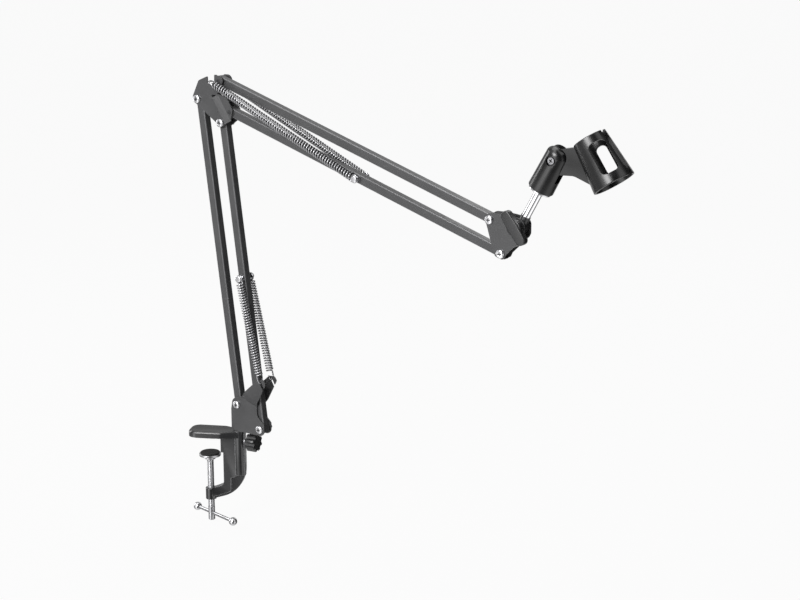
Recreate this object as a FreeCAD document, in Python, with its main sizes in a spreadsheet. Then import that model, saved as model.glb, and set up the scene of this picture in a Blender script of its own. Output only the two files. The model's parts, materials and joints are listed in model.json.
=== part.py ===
import FreeCAD, Part
import math
import operator
import os
from types import SimpleNamespace

import Sketcher

Vector = FreeCAD.Vector
Rotation = FreeCAD.Rotation
Placement = FreeCAD.Placement

# Driving sizes in millimetres; names that end in angle are degrees, in count plain numbers
SIZES = {
    # Fits shared by every piece
    "running_gap": 0.05,
    "side_gap": 0.15,
    "overrun": 6.0,
    # Square tubes and the two parallelograms
    "tube_width": 10.0,
    "tube_wall": 1.0,
    "tube_corner": 1.2,
    "tube_overhang": 4.5,
    "lower_arm_length": 362.0,
    "lower_lean_angle": 7.5,
    "lower_link_run": 33.8,
    "lower_link_drop": 25.1,
    "upper_arm_length": 381.0,
    "upper_drop_angle": 18.4,
    "upper_link_run": 14.0,
    "upper_link_drop": 34.5,
    "elbow_run": 32.0,
    "elbow_rise": 22.0,
    # Sheet steel and fasteners
    "sheet_thickness": 1.6,
    "bolt_diameter": 5.0,
    "bolt_head_diameter": 9.6,
    "bolt_head_height": 2.8,
    "bolt_head_round": 1.7,
    "bolt_recess_length": 4.8,
    "bolt_recess_width": 1.1,
    "bolt_recess_depth": 1.3,
    "bolt_tail": 1.4,
    "nut_width": 8.0,
    "nut_height": 4.0,
    "bush_diameter": 11.4,
    "close_bush_height": 0.5,
    "wide_bush_height": 2.0,
    # Clamp casting
    "clamp_reach": 37.0,
    "tongue_reach": 24.0,
    "tongue_width": 30.0,
    "tongue_corner": 11.0,
    "tongue_edge_round": 3.2,
    "tongue_height": 8.0,
    "jaw_pad_height": 1.5,
    "jaw_pad_length": 32.0,
    "jaw_pad_width": 22.0,
    "jaw_pad_corner": 6.0,
    "frame_width": 11.0,
    "frame_web": 8.0,
    "throat_top": 14.5,
    "throat": 17.5,
    "throat_step": 18.5,
    "throat_corner": 7.0,
    "jaw_opening": 65.0,
    "jaw_rise": 6.0,
    "boss_diameter": 13.0,
    "boss_height": 14.0,
    "column_diameter": 14.2,
    "column_length": 56.0,
    "back_drop": 65.5,
    "back_round": 38.0,
    "panel_inset": 11.5,
    "panel_corner": 2.0,
    "swivel_diameter": 8.0,
    "swivel_length": 44.0,
    "swivel_neck": 6.0,
    "swivel_rivet_diameter": 11.0,
    "swivel_rivet_height": 1.4,
    "swivel_washer_height": 1.0,
    "swivel_angle": -25.0,
    # Clamp screw, foot and bar
    "screw_diameter": 8.0,
    "screw_chamfer": 0.8,
    "screw_end_drop": 106.0,
    "screw_tip_diameter": 6.0,
    "screw_tip_length": 5.0,
    "foot_gap": 20.0,
    "foot_diameter": 26.0,
    "foot_height": 3.0,
    "foot_hub_diameter": 13.0,
    "foot_hub_height": 4.0,
    "foot_pad_height": 1.5,
    "foot_pad_diameter": 23.0,
    "bar_drop": 97.0,
    "bar_diameter": 4.0,
    "bar_length": 71.0,
    "bar_shift": 7.0,
    "bar_angle": -38.0,
    "ball_diameter": 10.0,
    "ball_socket": 4.0,
    # Swivel lock
    "lock_drop": 3.5,
    "lock_angle": -17.0,
    "lock_stud_diameter": 5.0,
    "lock_tip_gap": 0.1,
    "lock_knob_diameter": 22.0,
    "lock_knob_height": 12.5,
    "lock_knob_gap": 5.5,
    "lock_knob_chamfer": 0.8,
    "lock_hole_depth": 7.0,
    "flute_diameter": 5.5,
    "flute_count": 8,
    # Base bracket
    "pivot_ahead": 3.0,
    "base_height": 32.8,
    "base_back": 9.0,
    "base_web_front": 25.0,
    "base_corner": 2.0,
    "lug_radius": 6.5,
    "base_waist": 30.0,
    "base_waist_drop": 9.0,
    "base_waist_round": 8.0,
    "joggle_angle": 19.0,
    "joggle_start": 12.0,
    "joggle_width": 6.0,
    "ear_seat_run": 39.4,
    "ear_seat_rise": 33.6,
    "ear_round": 3.0,
    "ear_slot_width": 3.0,
    "ear_slot_length": 14.0,
    "ear_slot_angle": -62.0,
    # Elbow plates
    "notch_run": 25.0,
    "notch_rise": 20.5,
    "notch_width": 3.8,
    "notch_lead": 9.2,
    "notch_fall": 2.3,
    "elbow_round": 4.0,
    "crease_angle": 58.0,
    "crease_run": 21.5,
    "crease_rise": 5.3,
    "crease_ramp": 8.0,
    "crease_lap": 1.5,
    "elbow_slit": 2.6,
    "lug_length": 37.0,
    "lug_width": 17.0,
    "lug_corner": 9.0,
    # Head bracket, tilt bolt and wing knob
    "tilt_run": 33.5,
    "tilt_drop": 4.0,
    "head_lug": 7.4,
    "tilt_lug": 8.5,
    "head_back_run": 3.0,
    "head_back_drop": 26.0,
    "head_web_setback": 12.0,
    "head_web_length": 14.5,
    "tilt_bolt_diameter": 6.0,
    "tilt_head_diameter": 13.0,
    "tilt_head_height": 3.2,
    "tilt_washer_diameter": 14.0,
    "tilt_washer_height": 1.2,
    "knob_length": 40.0,
    "knob_width": 13.0,
    "knob_hub_diameter": 16.5,
    "knob_height": 7.0,
    "knob_wing_height": 7.4,
    "knob_wing_gap": 1.0,
    "knob_edge_round": 1.2,
    "knob_socket": 7.5,
    "knob_angle": -53.5,
    # Microphone stud and clip
    "stud_angle": 61.0,
    "eye_diameter": 16.0,
    "neck_diameter": 10.8,
    "neck_length": 13.0,
    "stud_diameter": 9.5,
    "stud_length": 61.0,
    "stud_chamfer": 1.0,
    "clip_start": 47.0,
    "clip_diameter": 28.0,
    "clip_top_diameter": 26.0,
    "clip_length": 50.0,
    "clip_round": 9.0,
    "insert_diameter": 16.0,
    "insert_flange_diameter": 25.0,
    "insert_length": 12.0,
    "insert_lip": 1.8,
    "clip_hollow": 15.0,
    "clip_hinge": 36.0,
    "clip_slot_depth": 34.5,
    "tongue_thickness": 10.0,
    "hinge_screw_diameter": 4.0,
    "hinge_head_diameter": 7.0,
    "hinge_head_height": 2.4,
    "hinge_recess_diameter": 10.4,
    "hinge_recess_depth": 3.4,
    "hinge_nut_width": 7.0,
    "hinge_nut_height": 3.0,
    "cup_angle": 34.0,
    "cup_run": 44.2,
    "cup_top": 0.3,
    "cup_length": 52.4,
    "cup_top_diameter": 35.5,
    "cup_mouth_diameter": 45.0,
    "cup_bore_diameter": 30.5,
    "cup_bore_length": 26.0,
    "cup_mouth_bore": 40.0,
    "cup_slit": 8.0,
    "cup_rim_round": 0.8,
    "window_length": 34.0,
    "window_width": 18.6,
    "window_corner": 5.0,
    "window_shift": 2.5,
    "window_rise": 0.5,
    "window_angle": 29.0,
    "back_window_length": 30.5,
    "back_window_width": 11.0,
    "back_window_shift": 5.3,
    "cup_lug_radius": 9.0,
    "web_run": 2.0,
    "web_drop": 16.5,
    "web_bend_run": 11.0,
    "web_bend_drop": 24.5,
    "web_bend_round": 14.0,
    "web_foot_drop": 46.0,
    # Tension springs and their pins
    "wire_diameter": 1.1,
    "coil_diameter": 8.8,
    "eye_gap": 0.35,
    "coil_lead": 6.0,
    "eye_lead": 9.0,
    "hook_inset": 3.3,
    "spring_side": 10.2,
    "elbow_spring_side": 13.5,
    "lower_pin_place": 181.0,
    "upper_pin_place": 187.0,
    "pin_diameter": 5.0,
    "pin_head_diameter": 8.0,
    "pin_head_height": 2.0,
    "pin_collar": 1.2,
    "lower_turn_count": 14,
    "upper_turn_count": 24,
}

doc = FreeCAD.newDocument("microphone_boom_arm")
sheet = doc.addObject("Spreadsheet::Sheet", "sizes")

OPERATIONS = {"+": operator.add, "-": operator.sub, "*": operator.mul, "/": operator.truediv}
HALF_TURN = 180.0
ZERO = Vector(0, 0, 0)


class Size:
    """A number that keeps the sheet expression it came from."""

    def __init__(self, value, text):
        self.value = float(value)
        self.text = text

    def __float__(self):
        return self.value

    def joined(self, other, sign, swapped=False):
        pair = (self, as_size(other))
        if swapped:
            pair = (pair[1], pair[0])
        value = OPERATIONS[sign](pair[0].value, pair[1].value)
        return Size(value, f"({pair[0].text} {sign} {pair[1].text})")

    def __add__(self, other):
        return self.joined(other, "+")

    def __radd__(self, other):
        return self.joined(other, "+", swapped=True)

    def __sub__(self, other):
        return self.joined(other, "-")

    def __rsub__(self, other):
        return self.joined(other, "-", swapped=True)

    def __mul__(self, other):
        return self.joined(other, "*")

    def __rmul__(self, other):
        return self.joined(other, "*", swapped=True)

    def __truediv__(self, other):
        return self.joined(other, "/")

    def __neg__(self):
        return Size(-self.value, f"(-{self.text})")


def as_size(number):
    return number if isinstance(number, Size) else Size(number, repr(float(number)))


def fill_sheet():
    """Writes every driving size to its own cell and returns them by name."""
    for row, (name, value) in enumerate(SIZES.items(), start=1):
        sheet.set(f"A{row}", name)
        sheet.set(f"B{row}", str(value))
        sheet.setAlias(f"B{row}", name)
    doc.recompute()
    return SimpleNamespace(**{name: Size(sheet.get(name), f"sizes.{name}") for name in SIZES})


s = fill_sheet()
subparts = []


def bind(thing, prop, number):
    """Sets a property and ties it to the sheet."""
    thing.setExpression(prop, as_size(number).text)


def new_body(label):
    body = doc.addObject("PartDesign::Body", label)
    body.Label = label
    body.AllowCompound = True
    subparts.append(body)
    return body


def flat(body, role, level=0, tilt=None):
    """A sketch on one of the body's own planes, moved along its normal and tilted if asked."""
    plane = next(item for item in body.Origin.OriginFeatures if item.Role == role)
    sketch = body.newObject("Sketcher::SketchObject", f"{body.Label}_sketch")
    sketch.AttachmentSupport = [(plane, "")]
    sketch.MapMode = "FlatFace"
    if tilt is not None:
        sketch.AttachmentOffset = tilt
    else:
        bind(sketch, "AttachmentOffset.Base.z", level)
    return sketch


def side_sketch(body, y):
    """A sketch in the arm plane at the side offset y; its pads run toward -Y, its cuts toward +Y."""
    return flat(body, "XZ_Plane", -as_size(y))


def top_sketch(body, z):
    return flat(body, "XY_Plane", z)


def cross_sketch(body, x):
    return flat(body, "YZ_Plane", x)


def circle(sketch, x, y, diameter):
    """A circle whose radius follows the sheet."""
    radius = as_size(diameter) / 2
    centre = Vector(float(x), float(y), 0)
    index = sketch.addGeometry(Part.Circle(centre, Vector(0, 0, 1), float(radius)))
    rule = sketch.addConstraint(Sketcher.Constraint("Radius", index, float(radius)))
    sketch.setExpression(f"Constraints[{rule}]", radius.text)


def outline(sketch, corners):
    """A closed outline through corners given as (x, y) or (x, y, rounding radius)."""
    spots = [Vector(float(c[0]), float(c[1]), 0) for c in corners]
    rounds = [float(c[2]) if len(c) > 2 else 0.0 for c in corners]
    ends = []
    for i, spot in enumerate(spots):
        before = (spots[i - 1] - spot).normalize()
        after = (spots[(i + 1) % len(spots)] - spot).normalize()
        half = before.getAngle(after) / 2
        reach = rounds[i] / math.tan(half) if rounds[i] else 0.0
        start = spot + before * reach
        stop = spot + after * reach
        middle = spot
        if rounds[i]:
            inward = (before + after).normalize()
            middle = spot + inward * (rounds[i] / math.sin(half) - rounds[i])
        ends.append((start, middle, stop, rounds[i]))
    for i, (start, middle, stop, rounding) in enumerate(ends):
        if rounding:
            sketch.addGeometry(Part.Arc(start, middle, stop))
        following = ends[(i + 1) % len(ends)][0]
        if (following - stop).Length > Part.Precision.confusion() * len(SIZES):
            sketch.addGeometry(Part.LineSegment(stop, following))


def box(sketch, x_low, y_low, x_high, y_high, rounding=None):
    corners = [(x_low, y_low), (x_high, y_low), (x_high, y_high), (x_low, y_high)]
    outline(sketch, [c + (rounding,) for c in corners] if rounding is not None else corners)


def hexagon(sketch, x, y, across):
    radius = float(across) / 2 / math.cos(math.pi / 6)
    spots = [math.pi / 3 * i for i in range(6)]
    outline(sketch, [(float(x) + radius * math.cos(a), float(y) + radius * math.sin(a)) for a in spots])


def pad(body, sketch, length, both_ways=False):
    feature = body.newObject("PartDesign::Pad", f"{body.Label}_pad")
    feature.Profile = sketch
    bind(feature, "Length", length)
    if both_ways:
        feature.SideType = "Symmetric"
    doc.recompute()
    return feature


def cut(body, sketch, length):
    """A pocket against the sketch's normal, which has to take material away."""
    before = body.Shape.Volume
    feature = body.newObject("PartDesign::Pocket", f"{body.Label}_cut")
    feature.Profile = sketch
    bind(feature, "Length", length)
    doc.recompute()
    if body.Shape.Volume >= before:
        raise RuntimeError(f"{body.Label}: a cut took nothing away")
    return feature


def turned(body, sketch, axis):
    """A solid of revolution about one of the sketch's own axes."""
    feature = body.newObject("PartDesign::Revolution", f"{body.Label}_turned")
    feature.Profile = sketch
    feature.ReferenceAxis = (sketch, [axis])
    feature.Angle = 2 * HALF_TURN
    doc.recompute()
    return feature


def rounded(body, radius, wanted, bevel=False):
    """Rounds or bevels the edges of the body that the wanted test picks."""
    kind = "PartDesign::Chamfer" if bevel else "PartDesign::Fillet"
    base = body.Tip
    names = [f"Edge{i}" for i, edge in enumerate(base.Shape.Edges, start=1) if wanted(edge)]
    feature = body.newObject(kind, f"{body.Label}_edge")
    feature.Base = (base, names)
    bind(feature, "Size" if bevel else "Radius", radius)
    doc.recompute()
    if not names or "Invalid" in feature.State:
        raise RuntimeError(f"{body.Label}: an edge could not be rounded")
    return feature


def circle_edge(radius, level=None, axis="y"):
    """Picks circles of one radius, at one level along an axis if given."""
    slack = float(s.running_gap) / 4

    def wanted(edge):
        curve = edge.Curve
        if not isinstance(curve, Part.Circle) or abs(curve.Radius - float(radius)) > slack:
            return False
        return level is None or abs(getattr(curve.Center, axis) - float(level)) < slack

    return wanted


# Places in the arm plane, as run from the swivel axis and rise from the jaw face
column_top = s.jaw_pad_height + s.tongue_height
tube_half = s.tube_width / 2
close_inner = tube_half + s.side_gap + s.close_bush_height
close_outer = close_inner + s.sheet_thickness
wide_inner = tube_half + s.side_gap + s.wide_bush_height
wide_outer = wide_inner + s.sheet_thickness
bolt_hole = s.bolt_diameter + s.running_gap * 2
LOWER_LINK = (s.lower_link_run, -s.lower_link_drop)
UPPER_LINK = (s.upper_link_run, -s.upper_link_drop)


def shifted(spot, run, rise):
    return (float(spot[0]) + float(run), float(spot[1]) + float(rise))


def along(spot, distance, angle):
    turn = math.radians(angle)
    return shifted(spot, float(distance) * math.cos(turn), float(distance) * math.sin(turn))


LOWER_ANGLE = HALF_TURN / 2 + float(s.lower_lean_angle)
UPPER_ANGLE = -float(s.upper_drop_angle)
base_rear = (float(s.pivot_ahead), float(column_top + s.swivel_washer_height + s.base_height))
base_front = shifted(base_rear, *LOWER_LINK)
elbow_rear = along(base_rear, s.lower_arm_length, LOWER_ANGLE)
elbow_front = shifted(elbow_rear, *LOWER_LINK)
elbow_top = shifted(elbow_rear, s.elbow_run, s.elbow_rise)
elbow_bottom = shifted(elbow_top, *UPPER_LINK)
head_top = along(elbow_top, s.upper_arm_length, UPPER_ANGLE)
head_bottom = shifted(head_top, *UPPER_LINK)
tilt_pivot = shifted(head_top, s.tilt_run, -s.tilt_drop)
clip_pivot = along(tilt_pivot, s.clip_start + s.clip_hinge, float(s.stud_angle))
lower_pin = along(base_front, s.lower_pin_place, LOWER_ANGLE)
upper_pin = along(elbow_bottom, s.upper_pin_place, UPPER_ANGLE)
lower_seat = shifted(base_rear, s.ear_seat_run, s.ear_seat_rise)
upper_seat = shifted(elbow_rear, s.notch_run, s.notch_rise + s.wire_diameter / 2 + s.side_gap)

ARM_FRAME = Placement(Vector(float(s.clamp_reach), 0, 0), Rotation(Vector(0, 0, 1), float(s.swivel_angle)))


def in_arm(body, spot=(0, 0), angle=0.0):
    """Sets a body at a spot of the arm plane, turned up from the run by an angle."""
    body.Placement = ARM_FRAME * Placement(Vector(spot[0], 0, spot[1]), Rotation(Vector(0, 1, 0), -angle))


# Clamp
def clamp_frame():
    body = new_body("clamp_frame")
    jaw_floor = -s.jaw_opening
    boss_end = jaw_floor - s.boss_height
    back = s.clamp_reach + s.column_diameter / 2
    column_foot = column_top - s.column_length
    inner = [
        (s.throat_top, column_top),
        (s.throat_top, -s.throat_step),
        (s.throat, -s.throat_step),
        (s.throat, jaw_floor + s.jaw_rise, s.throat_corner),
        (0, jaw_floor - s.jaw_pad_height),
    ]
    sketch = side_sketch(body, s.frame_web / 2)
    outer = [(0, boss_end), (back, -s.back_drop, s.back_round), (back, column_top)]
    outline(sketch, inner + outer)
    pad(body, sketch, s.frame_web)
    sketch = side_sketch(body, s.frame_width / 2)
    panel_top = (s.clamp_reach, column_foot)
    panel = [
        (0, boss_end + s.panel_corner),
        (back - s.panel_inset - s.panel_corner * 3, -s.back_drop - s.panel_corner, s.panel_corner),
        (back - s.panel_inset - s.panel_corner * 3, column_foot - s.panel_corner * 2, s.panel_corner),
        panel_top,
        (s.clamp_reach, column_top),
    ]
    outline(sketch, inner + panel)
    pad(body, sketch, s.frame_width)
    sketch = top_sketch(body, column_foot)
    circle(sketch, s.clamp_reach, 0, s.column_diameter)
    pad(body, sketch, s.column_length)
    sketch = top_sketch(body, boss_end)
    circle(sketch, 0, 0, s.boss_diameter)
    pad(body, sketch, s.boss_height)
    sketch = top_sketch(body, s.jaw_pad_height)
    half = s.tongue_width / 2
    outline(sketch, [
        (-s.tongue_reach, -half, s.tongue_corner),
        (s.throat, -half, s.tongue_corner),
        (s.clamp_reach, -s.column_diameter / 2),
        (s.clamp_reach, s.column_diameter / 2),
        (s.throat, half, s.tongue_corner),
        (-s.tongue_reach, half, s.tongue_corner),
    ])
    pad(body, sketch, s.tongue_height)

    def tongue_rim(edge):
        low = abs(edge.BoundBox.ZMin - float(column_top)) < float(s.running_gap)
        return low and edge.BoundBox.XMax < float(s.throat_top)

    rounded(body, s.tongue_edge_round, tongue_rim)
    sketch = top_sketch(body, column_top)
    circle(sketch, s.clamp_reach, 0, s.swivel_diameter + s.running_gap * 2)
    cut(body, sketch, s.swivel_length + s.jaw_pad_height)
    sketch = top_sketch(body, jaw_floor + s.overrun)
    circle(sketch, 0, 0, s.screw_diameter + s.running_gap * 2)
    cut(body, sketch, s.boss_height + s.overrun * 2)
    turn = Rotation(Vector(0, 1, 0), float(s.lock_angle))
    reach = float(s.column_diameter / 2 + s.overrun)
    outward = turn.multVec(Vector(0, 0, reach))
    spot = Vector(0, -float(s.lock_drop), float(s.clamp_reach)) + outward
    sketch = flat(body, "YZ_Plane", tilt=Placement(spot, turn))
    circle(sketch, 0, 0, s.lock_stud_diameter + s.running_gap * 2)
    cut(body, sketch, s.column_diameter / 2 + s.overrun)


def jaw_pad():
    body = new_body("jaw_pad")
    sketch = top_sketch(body, 0)
    rear = s.throat_top - s.jaw_pad_height
    half = s.jaw_pad_width / 2
    box(sketch, rear - s.jaw_pad_length, -half, rear, half, s.jaw_pad_corner)
    pad(body, sketch, s.jaw_pad_height)


foot_top = -s.foot_gap
foot_plate_top = foot_top - s.foot_pad_height
foot_plate_low = foot_plate_top - s.foot_height
foot_low = foot_plate_low - s.foot_hub_height


def pressure_foot():
    rubber = new_body("foot_pad")
    sketch = top_sketch(rubber, foot_plate_top)
    circle(sketch, 0, 0, s.foot_pad_diameter)
    pad(rubber, sketch, s.foot_pad_height)
    body = new_body("pressure_foot")
    sketch = top_sketch(body, foot_plate_low)
    circle(sketch, 0, 0, s.foot_diameter)
    pad(body, sketch, s.foot_height)
    sketch = top_sketch(body, foot_low)
    circle(sketch, 0, 0, s.foot_hub_diameter)
    pad(body, sketch, s.foot_hub_height)
    sketch = top_sketch(body, foot_low + s.screw_tip_length)
    circle(sketch, 0, 0, s.screw_tip_diameter + s.running_gap * 2)
    cut(body, sketch, s.screw_tip_length + s.overrun)


def clamp_screw():
    body = new_body("clamp_screw")
    shoulder = foot_low - s.side_gap
    tip = s.screw_tip_diameter / 2
    rod = s.screw_diameter / 2
    end = -s.screw_end_drop
    sketch = side_sketch(body, 0)
    outline(sketch, [
        (0, end),
        (rod - s.screw_chamfer, end),
        (rod, end + s.screw_chamfer),
        (rod, shoulder - s.screw_chamfer),
        (rod - s.screw_chamfer, shoulder),
        (tip, shoulder),
        (tip, shoulder + s.screw_tip_length),
        (0, shoulder + s.screw_tip_length),
    ])
    turned(body, sketch, "V_Axis")
    turn = Rotation(Vector(0, 1, 0), float(s.bar_angle))
    spot = Vector(0, -float(s.bar_drop), 0) + turn.multVec(Vector(0, 0, float(s.screw_diameter)))
    sketch = flat(body, "YZ_Plane", tilt=Placement(spot, turn))
    circle(sketch, 0, 0, s.bar_diameter + s.running_gap * 2)
    cut(body, sketch, s.screw_diameter * 2)


def t_bar():
    turn = Rotation(Vector(0, 0, 1), float(s.bar_angle))
    place = Placement(Vector(0, 0, -float(s.bar_drop)), turn)
    place = place * Placement(Vector(float(s.bar_shift), 0, 0), Rotation())
    half = s.bar_length / 2
    bar = new_body("t_bar")
    sketch = cross_sketch(bar, -half)
    circle(sketch, 0, 0, s.bar_diameter)
    pad(bar, sketch, s.bar_length)
    bar.Placement = place
    balls = new_body("t_bar_balls")
    sketch = side_sketch(balls, 0)
    radius = float(s.ball_diameter / 2)
    for side in (-1, 1):
        centre = Vector(float(half) * side, 0, 0)
        arc = Part.Circle(centre, Vector(0, 0, 1), radius)
        sketch.addGeometry(Part.ArcOfCircle(arc, 0, math.pi))
        sketch.addGeometry(Part.LineSegment(centre - Vector(radius, 0, 0), centre + Vector(radius, 0, 0)))
    turned(balls, sketch, "H_Axis")
    sketch = cross_sketch(balls, half)
    circle(sketch, 0, 0, s.bar_diameter + s.running_gap * 2)
    cut(balls, sketch, s.bar_length)
    balls.Placement = place


def swivel_lock():
    place = Placement(Vector(float(s.clamp_reach), 0, -float(s.lock_drop)),
                      Rotation(Vector(0, 0, 1), float(s.lock_angle)))
    knob_near = s.column_diameter / 2 + s.lock_knob_gap
    stud = new_body("lock_stud")
    tip = s.swivel_diameter / 2 + s.lock_tip_gap
    sketch = cross_sketch(stud, tip)
    circle(sketch, 0, 0, s.lock_stud_diameter)
    pad(stud, sketch, knob_near + s.lock_hole_depth - s.side_gap - tip)
    stud.Placement = place
    knob = new_body("lock_knob")
    sketch = cross_sketch(knob, knob_near)
    circle(sketch, 0, 0, s.lock_knob_diameter)
    pad(knob, sketch, s.lock_knob_height)
    rounded(knob, s.lock_knob_chamfer, circle_edge(s.lock_knob_diameter / 2), bevel=True)
    sketch = cross_sketch(knob, knob_near + s.lock_knob_height)
    circle(sketch, 0, s.lock_knob_diameter / 2, s.flute_diameter)
    flute = cut(knob, sketch, s.lock_knob_height)
    ring = knob.newObject("PartDesign::PolarPattern", "lock_knob_flutes")
    ring.Originals = [flute]
    ring.Axis = (sketch, ["N_Axis"])
    ring.Angle = 2 * HALF_TURN
    bind(ring, "Occurrences", s.flute_count)
    knob.Tip = ring
    doc.recompute()
    sketch = cross_sketch(knob, knob_near + s.lock_hole_depth)
    circle(sketch, 0, 0, s.lock_stud_diameter + s.running_gap * 2)
    cut(knob, sketch, s.lock_hole_depth)
    knob.Placement = place


# Base bracket and swivel pin
base_floor = -s.base_height


def swivel_pin():
    pin = new_body("swivel_pin")
    sketch = side_sketch(pin, 0)
    body_half = s.swivel_diameter / 2
    neck_half = s.swivel_neck / 2
    rivet_half = s.swivel_rivet_diameter / 2
    web_top = base_floor + s.sheet_thickness
    pin_end = base_floor - s.swivel_washer_height - s.swivel_length
    outline(sketch, [
        (0, pin_end),
        (body_half - s.screw_chamfer, pin_end),
        (body_half, pin_end + s.screw_chamfer),
        (body_half, base_floor),
        (neck_half, base_floor),
        (neck_half, web_top),
        (rivet_half, web_top),
        (neck_half, web_top + s.swivel_rivet_height),
        (0, web_top + s.swivel_rivet_height),
    ])
    turned(pin, sketch, "V_Axis")
    in_arm(pin, (0, base_rear[1]))
    washer = new_body("swivel_washer")
    sketch = top_sketch(washer, base_floor - s.swivel_washer_height + s.side_gap)
    circle(sketch, 0, 0, s.column_diameter)
    circle(sketch, 0, 0, s.swivel_diameter + s.running_gap * 2)
    pad(washer, sketch, s.swivel_washer_height - s.side_gap)
    in_arm(washer, (0, base_rear[1]))


# Ear corners as shares of the spring seat's run and rise from the rear pivot
EAR_SHARES = [(1.19, 0.98), (1.10, 1.13), (0.90, 1.10), (0.43, 0.62)]


def base_bracket():
    body = new_body("base_bracket")
    front, drop = s.lower_link_run, s.lower_link_drop
    lug = s.lug_radius
    sketch = side_sketch(body, close_outer)
    box(sketch, -s.base_back, base_floor, s.base_web_front, base_floor + s.sheet_thickness)
    pad(body, sketch, close_outer * 2)
    ear_inner = s.spring_side - s.sheet_thickness / 2
    ear_outer = s.spring_side + s.sheet_thickness / 2
    far = s.ear_seat_run + s.base_height + s.overrun
    high = s.joggle_start + s.joggle_width
    tilt = Placement(ZERO, Rotation(Vector(1, 0, 0), float(s.joggle_angle)))
    for side in (-1, 1):
        sketch = flat(body, "YZ_Plane", tilt=tilt)
        outline(sketch, [
            (close_inner * side, -far),
            (close_inner * side, s.joggle_start),
            (ear_inner * side, high),
            (ear_inner * side, far),
            (ear_outer * side, far),
            (ear_outer * side, high),
            (close_outer * side, s.joggle_start),
            (close_outer * side, -far),
        ])
        pad(body, sketch, far * 2, both_ways=True)
    ear = [(s.ear_seat_run * a, s.ear_seat_rise * b, s.ear_round) for a, b in EAR_SHARES]
    shape = [
        (-s.base_back, base_floor, s.base_corner),
        (front + lug, base_floor, lug),
        (front + lug, lug - drop, s.base_corner),
        (s.base_waist, -s.base_waist_drop, s.base_waist_round),
        (s.base_waist, s.base_corner, s.base_corner),
        *ear,
        (s.bolt_head_diameter, s.joggle_start, s.ear_round),
        (-lug, lug, lug),
        (-s.base_back, -lug, s.ear_round),
    ]
    sketch = side_sketch(body, -ear_outer - s.overrun)
    reach = far * 2
    box(sketch, -reach, -reach, reach, reach)
    outline(sketch, shape)
    cut(body, sketch, (ear_outer + s.overrun) * 2)
    sketch = side_sketch(body, -ear_outer - s.overrun)
    circle(sketch, 0, 0, bolt_hole)
    circle(sketch, front, -drop, bolt_hole)
    cut(body, sketch, (ear_outer + s.overrun) * 2)
    spring_slot(body, (s.ear_seat_run, s.ear_seat_rise), s.ear_slot_width, s.ear_slot_length,
                float(s.ear_slot_angle), ear_outer)
    sketch = top_sketch(body, base_floor + s.sheet_thickness + s.overrun)
    circle(sketch, -s.pivot_ahead, 0, s.swivel_neck + s.running_gap * 2)
    cut(body, sketch, s.sheet_thickness + s.overrun * 2)
    in_arm(body, base_rear)


def spring_slot(body, seat, width, length, angle, outer):
    """An open slot with a round seat, cut through both sides of a bracket."""
    turn = Rotation(Vector(0, 0, 1), angle)
    half = float(width) / 2
    shares = [(-half, -half, half), (float(length), -half), (float(length), half), (-half, half, half)]
    centre = Vector(float(seat[0]), float(seat[1]), 0)
    corners = []
    for x, y, *rounding in shares:
        spot = centre + turn.multVec(Vector(x, y, 0))
        corners.append((spot.x, spot.y, *[r * SLOT_ROUND_SHARE for r in rounding]))
    sketch = side_sketch(body, -outer - s.overrun)
    outline(sketch, corners)
    cut(body, sketch, (outer + s.overrun) * 2)


SLOT_ROUND_SHARE = 0.98


# Fasteners, drawn as groups round a list of pivots
def bolts(label, spots, outer, place):
    """Pan-head cross-recess bolts with their heads at the front."""
    body = new_body(label)
    tail = outer + s.nut_height + s.bolt_tail
    sketch = side_sketch(body, tail)
    for x, z in spots:
        circle(sketch, x, z, s.bolt_diameter)
    pad(body, sketch, tail + outer)
    sketch = side_sketch(body, -outer)
    for x, z in spots:
        circle(sketch, x, z, s.bolt_head_diameter)
    pad(body, sketch, s.bolt_head_height)
    face = outer + s.bolt_head_height
    rounded(body, s.bolt_head_round, circle_edge(s.bolt_head_diameter / 2, -face))
    arm = s.bolt_recess_length / 2
    slim = s.bolt_recess_width / 2
    for wide, high in ((arm, slim), (slim, arm)):
        sketch = side_sketch(body, -face)
        for x, z in spots:
            box(sketch, x - wide, z - high, x + wide, z + high)
        cut(body, sketch, s.bolt_recess_depth)
    in_arm(body, place)


def nuts(label, spots, outer, place):
    body = new_body(label)
    sketch = side_sketch(body, outer + s.nut_height)
    for x, z in spots:
        hexagon(sketch, x, z, s.nut_width)
        circle(sketch, x, z, bolt_hole)
    pad(body, sketch, s.nut_height)
    in_arm(body, place)


def bushes(label, groups, place):
    """Nylon rings between the plates and the tubes, as (spots, plate's inner face) groups."""
    body = new_body(label)
    for spots, inner in groups:
        height = inner - tube_half - s.side_gap
        for top in (inner, height - inner):
            sketch = side_sketch(body, top)
            for x, z in spots:
                circle(sketch, x, z, s.bush_diameter)
                circle(sketch, x, z, bolt_hole)
            pad(body, sketch, height)
    in_arm(body, place)


# Tubes and spring pins
def tube(label, length, start, angle, pin_place=None):
    body = new_body(label)
    sketch = cross_sketch(body, -s.tube_overhang)
    box(sketch, -tube_half, -tube_half, tube_half, tube_half, s.tube_corner)
    core = tube_half - s.tube_wall
    box(sketch, -core, -core, core, core)
    pad(body, sketch, length + s.tube_overhang * 2)
    sketch = side_sketch(body, -tube_half - s.overrun)
    for place in (0, length):
        circle(sketch, place, 0, bolt_hole)
    if pin_place is not None:
        circle(sketch, pin_place, 0, s.pin_diameter + s.running_gap * 2)
    cut(body, sketch, s.tube_width + s.overrun * 2)
    in_arm(body, start, angle)


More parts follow.
